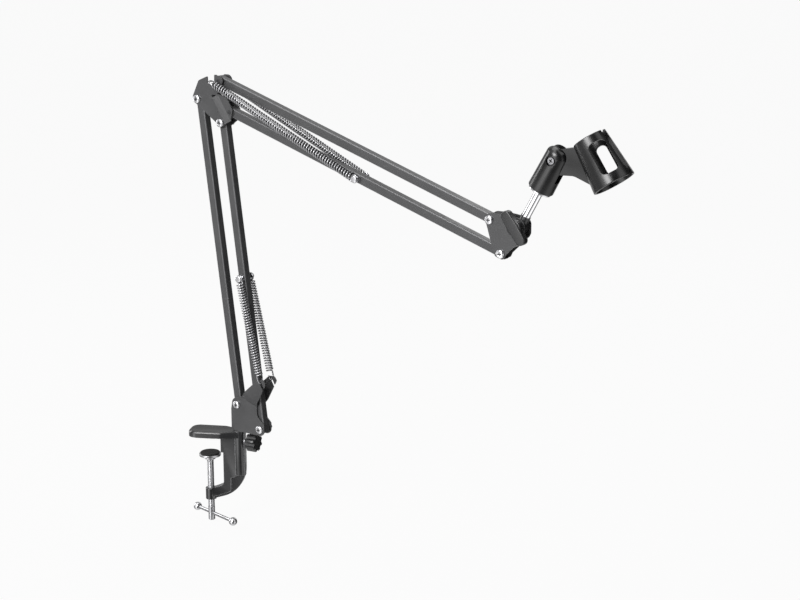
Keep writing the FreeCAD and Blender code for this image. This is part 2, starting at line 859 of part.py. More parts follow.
def spring_pin(label, spot, angle):
    """A headed pin across the tube; its collars keep it centred in the tube's walls."""
    body = new_body(label)
    reach = s.spring_side + s.wire_diameter / 2 + s.eye_gap
    sketch = side_sketch(body, reach)
    circle(sketch, 0, 0, s.pin_diameter)
    pad(body, sketch, reach * 2)
    for level in (-reach, reach + s.pin_head_height):
        sketch = side_sketch(body, level)
        circle(sketch, 0, 0, s.pin_head_diameter)
        pad(body, sketch, s.pin_head_height)
    for level in (-tube_half, tube_half + s.pin_collar):
        sketch = side_sketch(body, level)
        circle(sketch, 0, 0, s.pin_head_diameter)
        pad(body, sketch, s.pin_collar)
    for level in (-reach - s.pin_head_height, reach + s.pin_head_height):
        rounded(body, s.pin_head_height / 2, circle_edge(s.pin_head_diameter / 2, level))
    in_arm(body, spot, angle)


# Elbow
def elbow_plate(label, side):
    """One stepped plate: the left part stands out, the lug of the bottom pivot steps in."""
    body = new_body(label)
    run, drop = s.lower_link_run, s.lower_link_drop
    lug = s.lug_radius
    notch = s.notch_width / 2
    shoulder = [
        (-lug, lug / 2, s.elbow_round),
        (s.notch_run / 10, s.notch_rise + s.tube_wall, s.elbow_round),
    ]
    if side > 0:
        shoulder = [
            (-lug, lug, lug / 2),
            (s.notch_run - s.notch_lead - lug / 2, s.notch_rise - lug / 2, s.elbow_round / 2),
            (s.notch_run - s.notch_lead - lug / 2, s.notch_rise + lug, s.tube_wall),
        ]
    shape = [(-lug, -lug / 2, lug)] + shoulder + [
        (s.notch_run - s.notch_lead, s.notch_rise + lug, s.tube_wall),
        (s.notch_run - s.notch_lead, s.notch_rise - s.notch_fall, s.notch_fall),
        (s.notch_run - notch, s.notch_rise - s.notch_fall / 2, s.notch_fall),
        (s.notch_run, s.notch_rise),
        (s.notch_run + notch, s.notch_rise - s.notch_fall / 2, s.tube_wall),
        (s.notch_run + notch, s.elbow_rise + lug, s.tube_wall),
        (s.elbow_run + lug, s.elbow_rise + lug, lug),
        (s.elbow_run + lug, s.elbow_rise - lug, s.elbow_round),
        (s.crease_run + s.crease_ramp, s.crease_rise + s.tube_wall, s.elbow_round),
        (s.crease_run, s.crease_rise + s.tube_wall),
        (s.crease_run, s.crease_rise),
        from_crease(s.lug_length, 0),
        (run, -drop - lug, lug),
        (run - lug, -drop, s.elbow_round),
        (0, -lug, lug / 2),
    ]
    top = wide_outer if side > 0 else -wide_inner
    sketch = side_sketch(body, top)
    outline(sketch, shape)
    pad(body, sketch, s.sheet_thickness)
    tilt = Rotation(Vector(1, 0, 0), float(s.crease_angle))
    spot = Vector(0, float(s.crease_rise), float(s.crease_run))
    spot = spot + tilt.multVec(Vector(0, 0, float(s.elbow_slit)))
    sketch = flat(body, "YZ_Plane", tilt=Placement(spot, tilt))
    outline(sketch, [
        (wide_inner * side, -s.crease_lap),
        (wide_inner * side, 0),
        (close_inner * side, s.crease_ramp),
        (close_inner * side, s.lug_width),
        (close_outer * side, s.lug_width),
        (close_outer * side, s.crease_ramp),
        (wide_outer * side, 0),
        (wide_outer * side, -s.crease_lap),
    ])
    pad(body, sketch, s.lug_length - s.elbow_slit)
    for end, inward in ((s.elbow_slit, s.lug_corner), (s.lug_length, -s.lug_corner)):
        sketch = side_sketch(body, -wide_outer - s.overrun)
        outline(sketch, [
            from_crease(end, s.lug_width - s.lug_corner),
            from_crease(end - inward, s.lug_width + s.lug_corner),
            from_crease(end + inward, s.lug_width),
        ])
        cut(body, sketch, (wide_outer + s.overrun) * 2)
    sketch = side_sketch(body, -wide_outer - s.overrun)
    for x, z in ((0, 0), (run, -drop), (s.elbow_run, s.elbow_rise), bottom_pivot()):
        circle(sketch, x, z, bolt_hole)
    cut(body, sketch, (wide_outer + s.overrun) * 2)
    in_arm(body, elbow_rear)


def from_crease(down, across):
    """A spot of the elbow's side view, measured down the crease and square across from it."""
    turn = math.radians(float(s.crease_angle))
    return (
        s.crease_run + down * math.cos(turn) + across * math.sin(turn),
        s.crease_rise - down * math.sin(turn) + across * math.cos(turn),
    )


def bottom_pivot():
    """The upper arm's bottom pivot, seen from the elbow's rear lower pivot."""
    return (s.elbow_run + s.upper_link_run, s.elbow_rise - s.upper_link_drop)


def elbow_pins():
    """Plain pins, riveted flush with the plates' outer faces."""
    body = new_body("elbow_pins")
    for spot, outer in (((s.elbow_run, s.elbow_rise), wide_outer), (bottom_pivot(), close_outer)):
        sketch = side_sketch(body, outer)
        circle(sketch, *spot, s.bolt_diameter)
        pad(body, sketch, outer * 2)
    in_arm(body, elbow_rear)


# Head bracket, tilt bolt and wing knob
def head_bracket():
    body = new_body("head_bracket")
    run, drop = s.upper_link_run, s.upper_link_drop
    lug = s.lug_radius
    low = (float(run + lug), -float(drop))
    high = (float(s.tilt_run + lug), -float(s.tilt_drop + s.tilt_lug + lug / 2))
    edge = Vector(high[0] - low[0], high[1] - low[1], 0).normalize()
    inward = Vector(-edge.y, edge.x, 0)
    start = Vector(*low, 0) + edge * float(s.head_web_setback)
    stop = start + edge * float(s.head_web_length)
    thick = inward * float(s.sheet_thickness)
    sketch = side_sketch(body, close_outer)
    outline(sketch, [(p.x, p.y) for p in (start, stop, stop + thick, start + thick)])
    pad(body, sketch, close_outer * 2)
    for top in (close_outer, -close_inner):
        sketch = side_sketch(body, top)
        outline(sketch, [
            (-s.head_lug, s.head_lug, s.head_lug),
            (s.tilt_run / 2, s.head_lug, s.elbow_round),
            (s.tilt_run + s.tilt_lug, s.tilt_lug - s.tilt_drop, s.tilt_lug * SLOT_ROUND_SHARE),
            (s.tilt_run + s.tilt_lug, high[1] + s.tilt_drop, s.elbow_round),
            (*high, s.base_corner),
            (low[0], low[1], s.base_corner),
            (run + lug / 2, -drop - lug, lug / 2),
            (run - lug, -drop - lug / 2, lug / 2),
            (s.head_back_run, -s.head_back_drop, s.elbow_round),
        ])
        pad(body, sketch, s.sheet_thickness)
    sketch = side_sketch(body, -close_outer - s.overrun)
    circle(sketch, 0, 0, bolt_hole)
    circle(sketch, run, -drop, bolt_hole)
    circle(sketch, s.tilt_run, -s.tilt_drop, s.tilt_bolt_diameter + s.running_gap * 2)
    cut(body, sketch, (close_outer + s.overrun) * 2)
    in_arm(body, head_top)


washer_near = close_outer + s.side_gap
knob_near = washer_near + s.tilt_washer_height + s.side_gap


def tilt_bolt():
    body = new_body("tilt_bolt")
    reach = knob_near + s.knob_socket - s.side_gap
    sketch = side_sketch(body, close_outer)
    circle(sketch, 0, 0, s.tilt_bolt_diameter)
    pad(body, sketch, close_outer + reach)
    sketch = side_sketch(body, close_outer + s.tilt_head_height)
    circle(sketch, 0, 0, s.tilt_head_diameter)
    pad(body, sketch, s.tilt_head_height)
    head = circle_edge(s.tilt_head_diameter / 2, close_outer + s.tilt_head_height)
    rounded(body, s.tilt_head_height * DOME_SHARE, head)
    in_arm(body, tilt_pivot)
    washer = new_body("tilt_washer")
    sketch = side_sketch(washer, -washer_near)
    circle(sketch, 0, 0, s.tilt_washer_diameter)
    circle(sketch, 0, 0, s.tilt_bolt_diameter + s.running_gap * 2)
    pad(washer, sketch, s.tilt_washer_height)
    in_arm(washer, tilt_pivot)


DOME_SHARE = 0.9


def tilt_knob():
    """A wing knob: a round hub under a broad flat wing."""
    body = new_body("tilt_knob")
    sketch = side_sketch(body, -knob_near)
    circle(sketch, 0, 0, s.knob_hub_diameter)
    pad(body, sketch, s.knob_height)
    hub_face = circle_edge(s.knob_hub_diameter / 2, -knob_near - s.knob_height)
    rounded(body, s.knob_edge_round, hub_face)
    half = s.knob_length / 2
    wide = s.knob_width / 2
    tip = wide * WING_TIP_SHARE
    sketch = side_sketch(body, -knob_near - s.knob_wing_gap)
    outline(sketch, [
        (-half, -tip, tip * SLOT_ROUND_SHARE),
        (0, -wide),
        (half, -tip, tip * SLOT_ROUND_SHARE),
        (half, tip, tip * SLOT_ROUND_SHARE),
        (0, wide),
        (-half, tip, tip * SLOT_ROUND_SHARE),
    ])
    pad(body, sketch, s.knob_wing_height)
    face = float(knob_near + s.knob_wing_gap + s.knob_wing_height)

    def front_rim(edge):
        return abs(edge.BoundBox.YMax + face) < float(s.running_gap)

    rounded(body, s.knob_edge_round, front_rim)
    sketch = side_sketch(body, -knob_near - s.knob_socket)
    circle(sketch, 0, 0, s.tilt_bolt_diameter + s.running_gap * 2)
    cut(body, sketch, s.knob_socket + s.overrun)
    in_arm(body, tilt_pivot, float(s.knob_angle))


WING_TIP_SHARE = 0.8


# Microphone stud and clip
def mic_stud():
    angle = float(s.stud_angle)
    knuckle = new_body("stud_knuckle")
    side = close_inner - s.side_gap
    sketch = side_sketch(knuckle, side)
    circle(sketch, 0, 0, s.eye_diameter)
    pad(knuckle, sketch, side * 2)
    sketch = cross_sketch(knuckle, 0)
    circle(sketch, 0, 0, s.neck_diameter)
    pad(knuckle, sketch, s.neck_length)
    sketch = side_sketch(knuckle, -side - s.overrun)
    circle(sketch, 0, 0, s.tilt_bolt_diameter + s.running_gap * 2)
    cut(knuckle, sketch, (side + s.overrun) * 2)
    in_arm(knuckle, tilt_pivot, angle)
    rod = new_body("mic_stud")
    sketch = cross_sketch(rod, s.neck_length)
    circle(sketch, 0, 0, s.stud_diameter)
    pad(rod, sketch, s.stud_length - s.neck_length)
    rounded(rod, s.stud_chamfer, circle_edge(s.stud_diameter / 2, s.stud_length, "x"), bevel=True)
    in_arm(rod, tilt_pivot, angle)


def clip_base():
    angle = float(s.stud_angle)
    start = s.clip_start
    end = start + s.clip_length
    hinge = start + s.clip_hinge
    body = new_body("clip_base")
    sketch = side_sketch(body, 0)
    outline(sketch, [
        (start, 0),
        (start, s.clip_diameter / 2, s.stud_chamfer),
        (end, s.clip_top_diameter / 2, s.clip_round),
        (end, 0),
    ])
    turned(body, sketch, "H_Axis")
    sketch = cross_sketch(body, start + s.insert_length)
    circle(sketch, 0, 0, s.insert_diameter)
    cut(body, sketch, s.insert_length + s.overrun)
    sketch = cross_sketch(body, start + s.clip_hollow)
    circle(sketch, 0, 0, s.stud_diameter + s.side_gap * 2)
    cut(body, sketch, s.clip_hollow)
    cheek = s.tongue_thickness / 2 + s.side_gap
    sketch = side_sketch(body, -cheek)
    reach = s.clip_diameter / 2 + s.overrun
    box(sketch, end - s.clip_slot_depth, -reach, end + s.overrun, reach)
    cut(body, sketch, cheek * 2)
    sketch = side_sketch(body, -s.clip_diameter)
    circle(sketch, hinge, 0, s.hinge_screw_diameter + s.running_gap * 2)
    cut(body, sketch, s.clip_diameter * 2)
    seat = s.clip_top_diameter / 2 - s.hinge_recess_depth
    sketch = side_sketch(body, -s.clip_diameter)
    circle(sketch, hinge, 0, s.hinge_recess_diameter)
    cut(body, sketch, s.clip_diameter - seat)
    sketch = side_sketch(body, seat)
    hexagon(sketch, hinge, 0, s.hinge_nut_width + s.side_gap * 2)
    cut(body, sketch, s.clip_diameter)
    in_arm(body, tilt_pivot, angle)
    insert = new_body("clip_insert")
    sketch = cross_sketch(insert, start - s.insert_lip)
    circle(sketch, 0, 0, s.insert_flange_diameter)
    pad(insert, sketch, s.insert_lip)
    sketch = cross_sketch(insert, start)
    circle(sketch, 0, 0, s.insert_diameter)
    pad(insert, sketch, s.insert_length)
    sketch = cross_sketch(insert, start + s.insert_length + s.overrun)
    circle(sketch, 0, 0, s.stud_diameter + s.running_gap * 2)
    cut(insert, sketch, s.insert_length + s.insert_lip + s.overrun * 2)
    in_arm(insert, tilt_pivot, angle)
    screw = new_body("hinge_screw")
    tail = seat + s.hinge_nut_height
    sketch = side_sketch(screw, tail)
    circle(sketch, 0, 0, s.hinge_screw_diameter)
    pad(screw, sketch, tail + seat)
    sketch = side_sketch(screw, -seat)
    circle(sketch, 0, 0, s.hinge_head_diameter)
    pad(screw, sketch, s.hinge_head_height)
    arm = s.hinge_head_diameter / 3
    for wide, high in ((arm, s.bolt_recess_width / 2), (s.bolt_recess_width / 2, arm)):
        sketch = side_sketch(screw, -seat - s.hinge_head_height)
        box(sketch, -wide, -high, wide, high)
        cut(screw, sketch, s.bolt_recess_depth)
    in_arm(screw, clip_pivot, angle)
    nut = new_body("hinge_nut")
    sketch = side_sketch(nut, seat + s.hinge_nut_height)
    hexagon(sketch, 0, 0, s.hinge_nut_width)
    circle(sketch, 0, 0, s.hinge_screw_diameter + s.running_gap * 2)
    pad(nut, sketch, s.hinge_nut_height)
    in_arm(nut, clip_pivot, angle)


def clip_cup():
    """A slit, slightly flared cup on a hinge tongue; its axis is the body's own upright."""
    body = new_body("clip_cup")
    axis = s.cup_run
    top = s.cup_top
    low = top - s.cup_length
    lug = s.cup_lug_radius
    half = s.tongue_thickness / 2
    wall = axis - s.cup_top_diameter / 2
    sketch = side_sketch(body, half)
    outline(sketch, [
        (-lug, -lug, lug * SLOT_ROUND_SHARE),
        (-s.web_run, -s.web_drop, s.cup_rim_round),
        (s.web_bend_run, -s.web_bend_drop, s.web_bend_round),
        (wall, -s.web_foot_drop),
        (axis, -s.web_foot_drop),
        (axis, top - s.window_corner),
        (wall, top - s.cup_rim_round),
        (lug / 2, lug, s.window_corner),
        (-lug, lug, lug * SLOT_ROUND_SHARE),
    ])
    pad(body, sketch, s.tongue_thickness)
    shell = cup_profile(body, s.cup_top_diameter / 2, s.cup_mouth_diameter / 2, top, low)
    turned(body, shell, "V_Axis")
    sketch = flat(body, "XY_Plane", tilt=Placement(Vector(float(axis), 0, float(top + s.overrun)), Rotation()))
    circle(sketch, 0, 0, s.cup_bore_diameter)
    cut(body, sketch, s.overrun + s.cup_length * 2)
    groove = body.newObject("PartDesign::Groove", "clip_cup_flare")
    groove.Profile = flare_profile(body, top, low)
    groove.ReferenceAxis = (groove.Profile[0], ["V_Axis"])
    groove.Angle = 2 * HALF_TURN
    doc.recompute()
    sketch = top_sketch(body, top + s.overrun)
    box(sketch, axis, -s.cup_slit / 2, axis + s.cup_mouth_diameter, s.cup_slit / 2)
    cut(body, sketch, s.cup_length + s.overrun * 2)
    reach = s.cup_mouth_diameter / 2 + s.overrun
    middle = low + s.cup_length / 2 + s.window_rise
    windows = (
        (s.window_shift, s.window_width, s.window_length, reach),
        (s.back_window_shift, s.back_window_width, s.back_window_length, reach * 2),
    )
    for shift, width, length, depth in windows:
        sketch = window_sketch(body, reach)
        box(sketch, shift - width / 2, middle - length / 2, shift + width / 2, middle + length / 2, s.window_corner)
        cut(body, sketch, depth)
    sketch = side_sketch(body, -s.tongue_thickness)
    circle(sketch, 0, 0, s.hinge_screw_diameter + s.running_gap * 2)
    cut(body, sketch, s.tongue_thickness * 2)
    in_arm(body, clip_pivot, float(s.cup_angle))


def at_cup_axis(body):
    """A sketch in the arm plane whose upright axis is the cup's."""
    return flat(body, "XZ_Plane", tilt=Placement(Vector(float(s.cup_run), 0, 0), Rotation()))


def window_sketch(body, reach):
    """A sketch outside the cup, square to the line on which its two windows are cut."""
    turn = Rotation(Vector(0, 1, 0), float(s.window_angle))
    spot = Vector(float(s.cup_run), 0, 0) + turn.multVec(Vector(0, 0, float(reach)))
    return flat(body, "XZ_Plane", tilt=Placement(spot, turn))


def cup_profile(body, top_radius, mouth_radius, top, low):
    sketch = at_cup_axis(body)
    outline(sketch, [
        (s.cup_bore_diameter / 4, top),
        (s.cup_bore_diameter / 4, low),
        (mouth_radius, low, s.cup_rim_round),
        (top_radius, top, s.cup_rim_round),
    ])
    return sketch


def flare_profile(body, top, low):
    sketch = at_cup_axis(body)
    outline(sketch, [
        (0, top - s.cup_bore_length),
        (s.cup_bore_diameter / 2, top - s.cup_bore_length),
        (s.cup_mouth_bore / 2, low),
        (s.cup_mouth_bore / 2, low - s.overrun),
        (0, low - s.overrun),
    ])
    return sketch


# Tension springs: a hook through the plate, open turns and an eye round the pin
def arc_between(start, control, stop):
    """The circular arc whose end tangents meet at the control point."""
    chord = (stop - start).Length / 2
    middle = (start + stop) / 2
    rise = control - middle
    if rise.Length < Part.Precision.confusion():
        return Part.LineSegment(start, stop).toShape()
    lean = math.acos(min(1.0, chord / (control - start).Length))
    return Part.Arc(start, middle + rise.normalize() * (chord * math.tan(lean / 2)), stop).toShape()


def biarc(start, heading, stop, last_heading):
    """Two arcs from one point and heading to another."""
    span = stop - start
    total = heading + last_heading
    spread = 2 * (1 - heading.dot(last_heading))
    lean = span.dot(total)
    reach = (math.sqrt(lean * lean + spread * span.dot(span)) - lean) / spread
    first = start + heading * reach
    second = stop - last_heading * reach
    joint = (first + second) / 2
    return [arc_between(start, first, joint), arc_between(joint, second, stop)]


def ring_stops(centre, along_axis, up_axis, radius, first, last, steps):
    """Points and headings round part of a circle, angles in degrees."""
    stops = []
    way = 1 if last > first else -1
    for i in range(steps + 1):
        turn = math.radians(first + (last - first) * i / steps)
        out = along_axis * math.cos(turn) + up_axis * math.sin(turn)
        head = (up_axis * math.cos(turn) - along_axis * math.sin(turn)) * way
        stops.append((centre + out * radius, head))
    return stops


HOOK_START_ANGLE = 250.0
HOOK_END_ANGLE = 90.0
EYE_START_ANGLE = 90.0
EYE_END_ANGLE = -150.0


def spring(label, seat, pin, side, turns, seat_side, hook_side, start_side):
    """One spring from a slot's seat to a pin; side is -1 at the front and 1 at the back."""
    radius = float(s.coil_diameter - s.wire_diameter) / 2
    eye = float(s.pin_diameter + s.wire_diameter) / 2 + float(s.eye_gap)
    start = Vector(seat[0], side * float(start_side), seat[1])
    stop = Vector(pin[0], side * float(s.spring_side), pin[1])
    ahead = (stop - start).normalize()
    outward = Vector(0, side, 0)
    outward = (outward - ahead * outward.dot(ahead)).normalize()
    across = ahead.cross(outward)
    shift = float(hook_side) - float(start_side)
    bite = float(hook_side) - float(seat_side)
    hook_centre = start + ahead * math.sqrt(radius * radius - bite * bite) + outward * shift
    stops = ring_stops(hook_centre, ahead, outward, radius, HOOK_START_ANGLE, HOOK_END_ANGLE, 4)
    first = (hook_centre - start).dot(ahead) + radius + float(s.coil_lead)
    last = (stop - start).Length - eye - float(s.eye_lead)
    count = int(float(turns))
    sweep = 2 * math.pi * count - math.pi / 2
    pitch = (last - first) / sweep
    halves = 2 * count - 1
    for i in range(halves + 1):
        turn = min(math.pi / 2 + math.pi * i, 2 * math.pi * count)
        place = first + pitch * (turn - math.pi / 2)
        out = outward * math.cos(turn) + across * math.sin(turn)
        head = across * math.cos(turn) - outward * math.sin(turn)
        stops.append((start + ahead * place + out * radius, (head * radius + ahead * pitch).normalize()))
    stops += ring_stops(stop, ahead, across, eye, EYE_START_ANGLE, EYE_END_ANGLE, 4)
    edges = []
    for (point, head), (next_point, next_head) in zip(stops, stops[1:]):
        edges += biarc(point, head, next_point, next_head)
    path = Part.Wire(edges)
    ring = Part.Circle(stops[0][0], stops[0][1], float(s.wire_diameter) / 2).toShape()
    feature = doc.addObject("Part::Feature", label)
    feature.Label = label
    feature.Shape = path.makePipeShell([Part.Wire([ring])], True, False)
    feature.Placement = ARM_FRAME
    subparts.append(feature)
    print(f"{label}: least gap to itself {least_gap(path):.2f} mm")


POINTS_PER_EDGE = 5


def least_gap(path):
    """The smallest clear gap between stretches of the wire that are not neighbours."""
    wire = float(s.wire_diameter)
    points = []
    travel = 0.0
    for edge in path.OrderedEdges:
        for point in edge.discretize(POINTS_PER_EDGE)[:-1]:
            if points:
                travel += (point - points[-1][0]).Length
            points.append((point, travel))
    apart = math.pi * wire * 2
    window = int(float(s.coil_diameter) * POINTS_PER_EDGE * 2)
    best = float(s.coil_diameter)
    for i, (point, distance) in enumerate(points):
        for other, other_distance in points[i + 1:i + window]:
            if other_distance - distance > apart:
                best = min(best, (other - point).Length - wire)
    return best


def springs():
    plate_side = (wide_inner + wide_outer) / 2
    hook_side = plate_side + s.hook_inset - s.wire_diameter
    for name, side in (("front", -1), ("rear", 1)):
        spring(f"lower_spring_{name}", lower_seat, lower_pin, side, s.lower_turn_count,
               s.spring_side, s.spring_side, s.spring_side)
        spring(f"upper_spring_{name}", upper_seat, upper_pin, side, s.upper_turn_count,
               plate_side, hook_side, s.elbow_spring_side)


# The whole arm
clamp_frame()
jaw_pad()
pressure_foot()
clamp_screw()
t_bar()
swivel_lock()
swivel_pin()
base_bracket()
lower_spots = [(0, 0), (s.lower_link_run, -s.lower_link_drop)]
upper_spots = [(0, 0), (s.upper_link_run, -s.upper_link_drop)]
elbow_upper_spots = [(s.elbow_run, s.elbow_rise), bottom_pivot()]
bolts("base_bolts", lower_spots, close_outer, base_rear)
nuts("base_nuts", lower_spots, close_outer, base_rear)
bushes("base_bushes", [(lower_spots, close_inner)], base_rear)
tube("lower_rear_tube", s.lower_arm_length, base_rear, LOWER_ANGLE)
tube("lower_front_tube", s.lower_arm_length, base_front, LOWER_ANGLE, s.lower_pin_place)
spring_pin("lower_spring_pin", lower_pin, LOWER_ANGLE)
elbow_plate("elbow_front_plate", -1)
elbow_plate("elbow_rear_plate", 1)
bolts("elbow_bolts", lower_spots, wide_outer, elbow_rear)
nuts("elbow_nuts", lower_spots, wide_outer, elbow_rear)
elbow_pins()
bushes("elbow_bushes", [(lower_spots + elbow_upper_spots[:1], wide_inner),
                        (elbow_upper_spots[1:], close_inner)], elbow_rear)
tube("upper_top_tube", s.upper_arm_length, elbow_top, UPPER_ANGLE)
tube("upper_bottom_tube", s.upper_arm_length, elbow_bottom, UPPER_ANGLE, s.upper_pin_place)
spring_pin("upper_spring_pin", upper_pin, UPPER_ANGLE)
springs()
head_bracket()
bolts("head_bolts", upper_spots, close_outer, head_top)
nuts("head_nuts", upper_spots, close_outer, head_top)
bushes("head_bushes", [(upper_spots, close_inner)], head_top)
tilt_bolt()
tilt_knob()
mic_stud()
clip_base()
clip_cup()

doc.recompute()
for item in doc.Objects:
    if "Invalid" in item.State or "Error" in item.State:
        raise RuntimeError(f"{item.Label} failed: {item.State}")
for item in subparts:
    if item.Shape.isNull() or not item.Shape.isValid() or not item.Shape.Solids:
        raise RuntimeError(f"{item.Label} has no sound solid")

os.makedirs("parts", exist_ok=True)
for item in subparts:
    item.Shape.exportStep(f"parts/{item.Label}.step")
    print(f"{item.Label}: {len(item.Shape.Solids)} solid(s), {item.Shape.Volume:.0f} mm3")
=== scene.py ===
import json
import math

import bmesh
import bpy
from mathutils import Matrix, Vector

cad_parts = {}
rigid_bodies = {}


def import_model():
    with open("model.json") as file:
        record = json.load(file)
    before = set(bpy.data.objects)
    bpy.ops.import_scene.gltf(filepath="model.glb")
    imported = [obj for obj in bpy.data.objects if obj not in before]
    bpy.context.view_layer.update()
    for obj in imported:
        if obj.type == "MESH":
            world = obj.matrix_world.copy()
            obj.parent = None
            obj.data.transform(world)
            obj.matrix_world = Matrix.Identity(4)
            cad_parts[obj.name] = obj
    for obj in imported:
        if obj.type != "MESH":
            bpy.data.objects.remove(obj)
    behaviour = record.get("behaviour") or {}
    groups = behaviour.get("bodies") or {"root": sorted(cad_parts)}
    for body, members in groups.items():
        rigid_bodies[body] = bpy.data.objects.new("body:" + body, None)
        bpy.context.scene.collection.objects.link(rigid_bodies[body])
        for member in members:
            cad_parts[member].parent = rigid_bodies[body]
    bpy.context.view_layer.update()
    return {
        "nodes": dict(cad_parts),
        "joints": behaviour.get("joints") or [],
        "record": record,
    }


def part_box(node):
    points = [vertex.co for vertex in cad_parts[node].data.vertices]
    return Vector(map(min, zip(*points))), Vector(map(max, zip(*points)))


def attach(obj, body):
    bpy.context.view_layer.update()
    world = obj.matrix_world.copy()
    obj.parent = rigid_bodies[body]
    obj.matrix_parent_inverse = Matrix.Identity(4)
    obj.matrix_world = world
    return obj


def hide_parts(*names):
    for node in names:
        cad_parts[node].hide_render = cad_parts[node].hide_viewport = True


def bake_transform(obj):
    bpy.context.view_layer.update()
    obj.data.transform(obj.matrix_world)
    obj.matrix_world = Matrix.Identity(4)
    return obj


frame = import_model()
nodes = frame["nodes"]
MM = 0.001

# Where the arm stands: the swivel axis of the clamp and the turn of the arm's plane
SWIVEL_REACH = 37 * MM
SWIVEL_TURN = math.radians(-25)
ARM = Matrix.Translation((SWIVEL_REACH, 0, 0)) @ Matrix.Rotation(SWIVEL_TURN, 4, "Z")


def in_arm(run, side, rise):
    """A point given in millimetres along, across and up the arm's plane, in the shared frame."""
    return ARM @ Vector((run * MM, side * MM, rise * MM))


def across_arm(side=1):
    """The direction across the arm's plane, in the shared frame: 1 to the rear, -1 to the front."""
    return (ARM.to_3x3() @ Vector((0, side, 0))).normalized()


# Shader groups that several finishes share
NOISE_RANGE = (0.3, 0.7)
SCUFF_STRETCH = (1.0, 1.0, 5.0)
SCUFF_LEAN = (0.5, 0.3, 0.0)
LINE_STRETCH = (0.05, 0.05, 1.0)


def new_group(name, inputs, outputs):
    """An empty group of number sockets, with the sockets to take from and to feed."""
    tree = bpy.data.node_groups.new(name, "ShaderNodeTree")
    for label, value in inputs.items():
        socket = tree.interface.new_socket(label, in_out="INPUT", socket_type="NodeSocketFloat")
        socket.default_value = value
    for label in outputs:
        tree.interface.new_socket(label, in_out="OUTPUT", socket_type="NodeSocketFloat")
    return tree, tree.nodes.new("NodeGroupInput").outputs, tree.nodes.new("NodeGroupOutput").inputs


def object_place(tree):
    return tree.nodes.new("ShaderNodeTexCoord").outputs["Object"]


def stretched(tree, place, scale, lean=(0.0, 0.0, 0.0)):
    """A coordinate scaled and leaned, so that a noise on it draws out into streaks."""
    node = tree.nodes.new("ShaderNodeMapping")
    node.inputs["Scale"].default_value = scale
    node.inputs["Rotation"].default_value = lean
    tree.links.new(place, node.inputs["Vector"])
    return node.outputs["Vector"]


def noise(tree, place, scale, detail):
    node = tree.nodes.new("ShaderNodeTexNoise")
    node.inputs["Detail"].default_value = detail
    tree.links.new(place, node.inputs["Vector"])
    tree.links.new(scale, node.inputs["Scale"])
    return node.outputs["Fac"]


def calculate(tree, operation, first, second):
    """The result of a sum on a socket and either a socket or a number."""
    node = tree.nodes.new("ShaderNodeMath")
    node.operation = operation
    tree.links.new(first, node.inputs[0])
    if isinstance(second, bpy.types.NodeSocket):
        tree.links.new(second, node.inputs[1])
    else:
        node.inputs[1].default_value = second
    return node.outputs["Value"]


def spread(tree, source, low, high):
    """Maps a noise value, which stays near its middle, to the range from low to high."""
    node = tree.nodes.new("ShaderNodeMapRange")
    node.inputs["From Min"].default_value, node.inputs["From Max"].default_value = NOISE_RANGE
    node.inputs["To Min"].default_value = low
    node.inputs["To Max"].default_value = high
    tree.links.new(source, node.inputs["Value"])
    return node.outputs["Result"]


def coat_group():
    """Sprayed coat: a fine pebbled height and slow cloudy patches."""
    sizes = {"Pebble": 1800.0, "Cloud": 35.0}
    tree, source, result = new_group("sprayed_coat", sizes, ("Height", "Patches"))
    place = object_place(tree)
    tree.links.new(noise(tree, place, source["Pebble"], detail=2.0), result["Height"])
    tree.links.new(noise(tree, place, source["Cloud"], detail=3.0), result["Patches"])
    return tree


def scuff_group():
    """Handling marks: a few short bright scuffs where a streaky noise passes a limit."""
    sizes = {"Scale": 90.0, "Limit": 0.66}
    tree, source, result = new_group("handling_marks", sizes, ("Marks",))
    place = stretched(tree, object_place(tree), SCUFF_STRETCH, SCUFF_LEAN)
    marks = noise(tree, place, source["Scale"], detail=6.0)
    tree.links.new(calculate(tree, "GREATER_THAN", marks, source["Limit"]), result["Marks"])
    return tree


def drawn_group():
    """Drawn or turned metal: fine lines across the length and soft blotches in the plating."""
    sizes = {"Lines": 900.0, "Blotch": 120.0}
    tree, source, result = new_group("drawn_metal", sizes, ("Lines", "Blotch"))
    place = object_place(tree)
    squeezed = stretched(tree, place, LINE_STRETCH)
    tree.links.new(noise(tree, squeezed, source["Lines"], detail=4.0), result["Lines"])
    tree.links.new(noise(tree, place, source["Blotch"], detail=2.0), result["Blotch"])
    return tree


SPRAYED_COAT = coat_group()
HANDLING_MARKS = scuff_group()
DRAWN_METAL = drawn_group()

# Finishes
PATCH_SHADES = (0.82, 1.18)
PATCH_ROUGHNESS = 0.06
PEBBLE_DEPTH = 0.2 * MM
MARK_STRENGTH = 0.35
SMOOTH_LINE = 0.04
ROUGH_LINE = 0.07
LINE_DEPTH = 0.1 * MM


def new_material(name):
    material = bpy.data.materials.new(name)
    material.use_nodes = True
    tree = material.node_tree
    return material, tree, tree.nodes["Principled BSDF"]


def use_group(tree, group, **values):
    node = tree.nodes.new("ShaderNodeGroup")
    node.node_tree = group
    for label, value in values.items():
        node.inputs[label].default_value = value
    return node.outputs


def mix_colours(tree, factor, first, second, blend="MIX"):
    """A colour from the first to the second, each of them a grey level, a colour or a socket."""
    mix = tree.nodes.new("ShaderNodeMix")
    mix.data_type = "RGBA"
    mix.blend_type = blend
    for label, value in (("Factor", factor), ("A", first), ("B", second)):
        socket = mix.inputs[label]
        if isinstance(value, bpy.types.NodeSocket):
            tree.links.new(value, socket)
        elif label == "Factor":
            socket.default_value = value
        elif isinstance(value, float):
            socket.default_value = (value, value, value, 1)
        else:
            socket.default_value = (*value, 1)
    return mix.outputs["Result"]


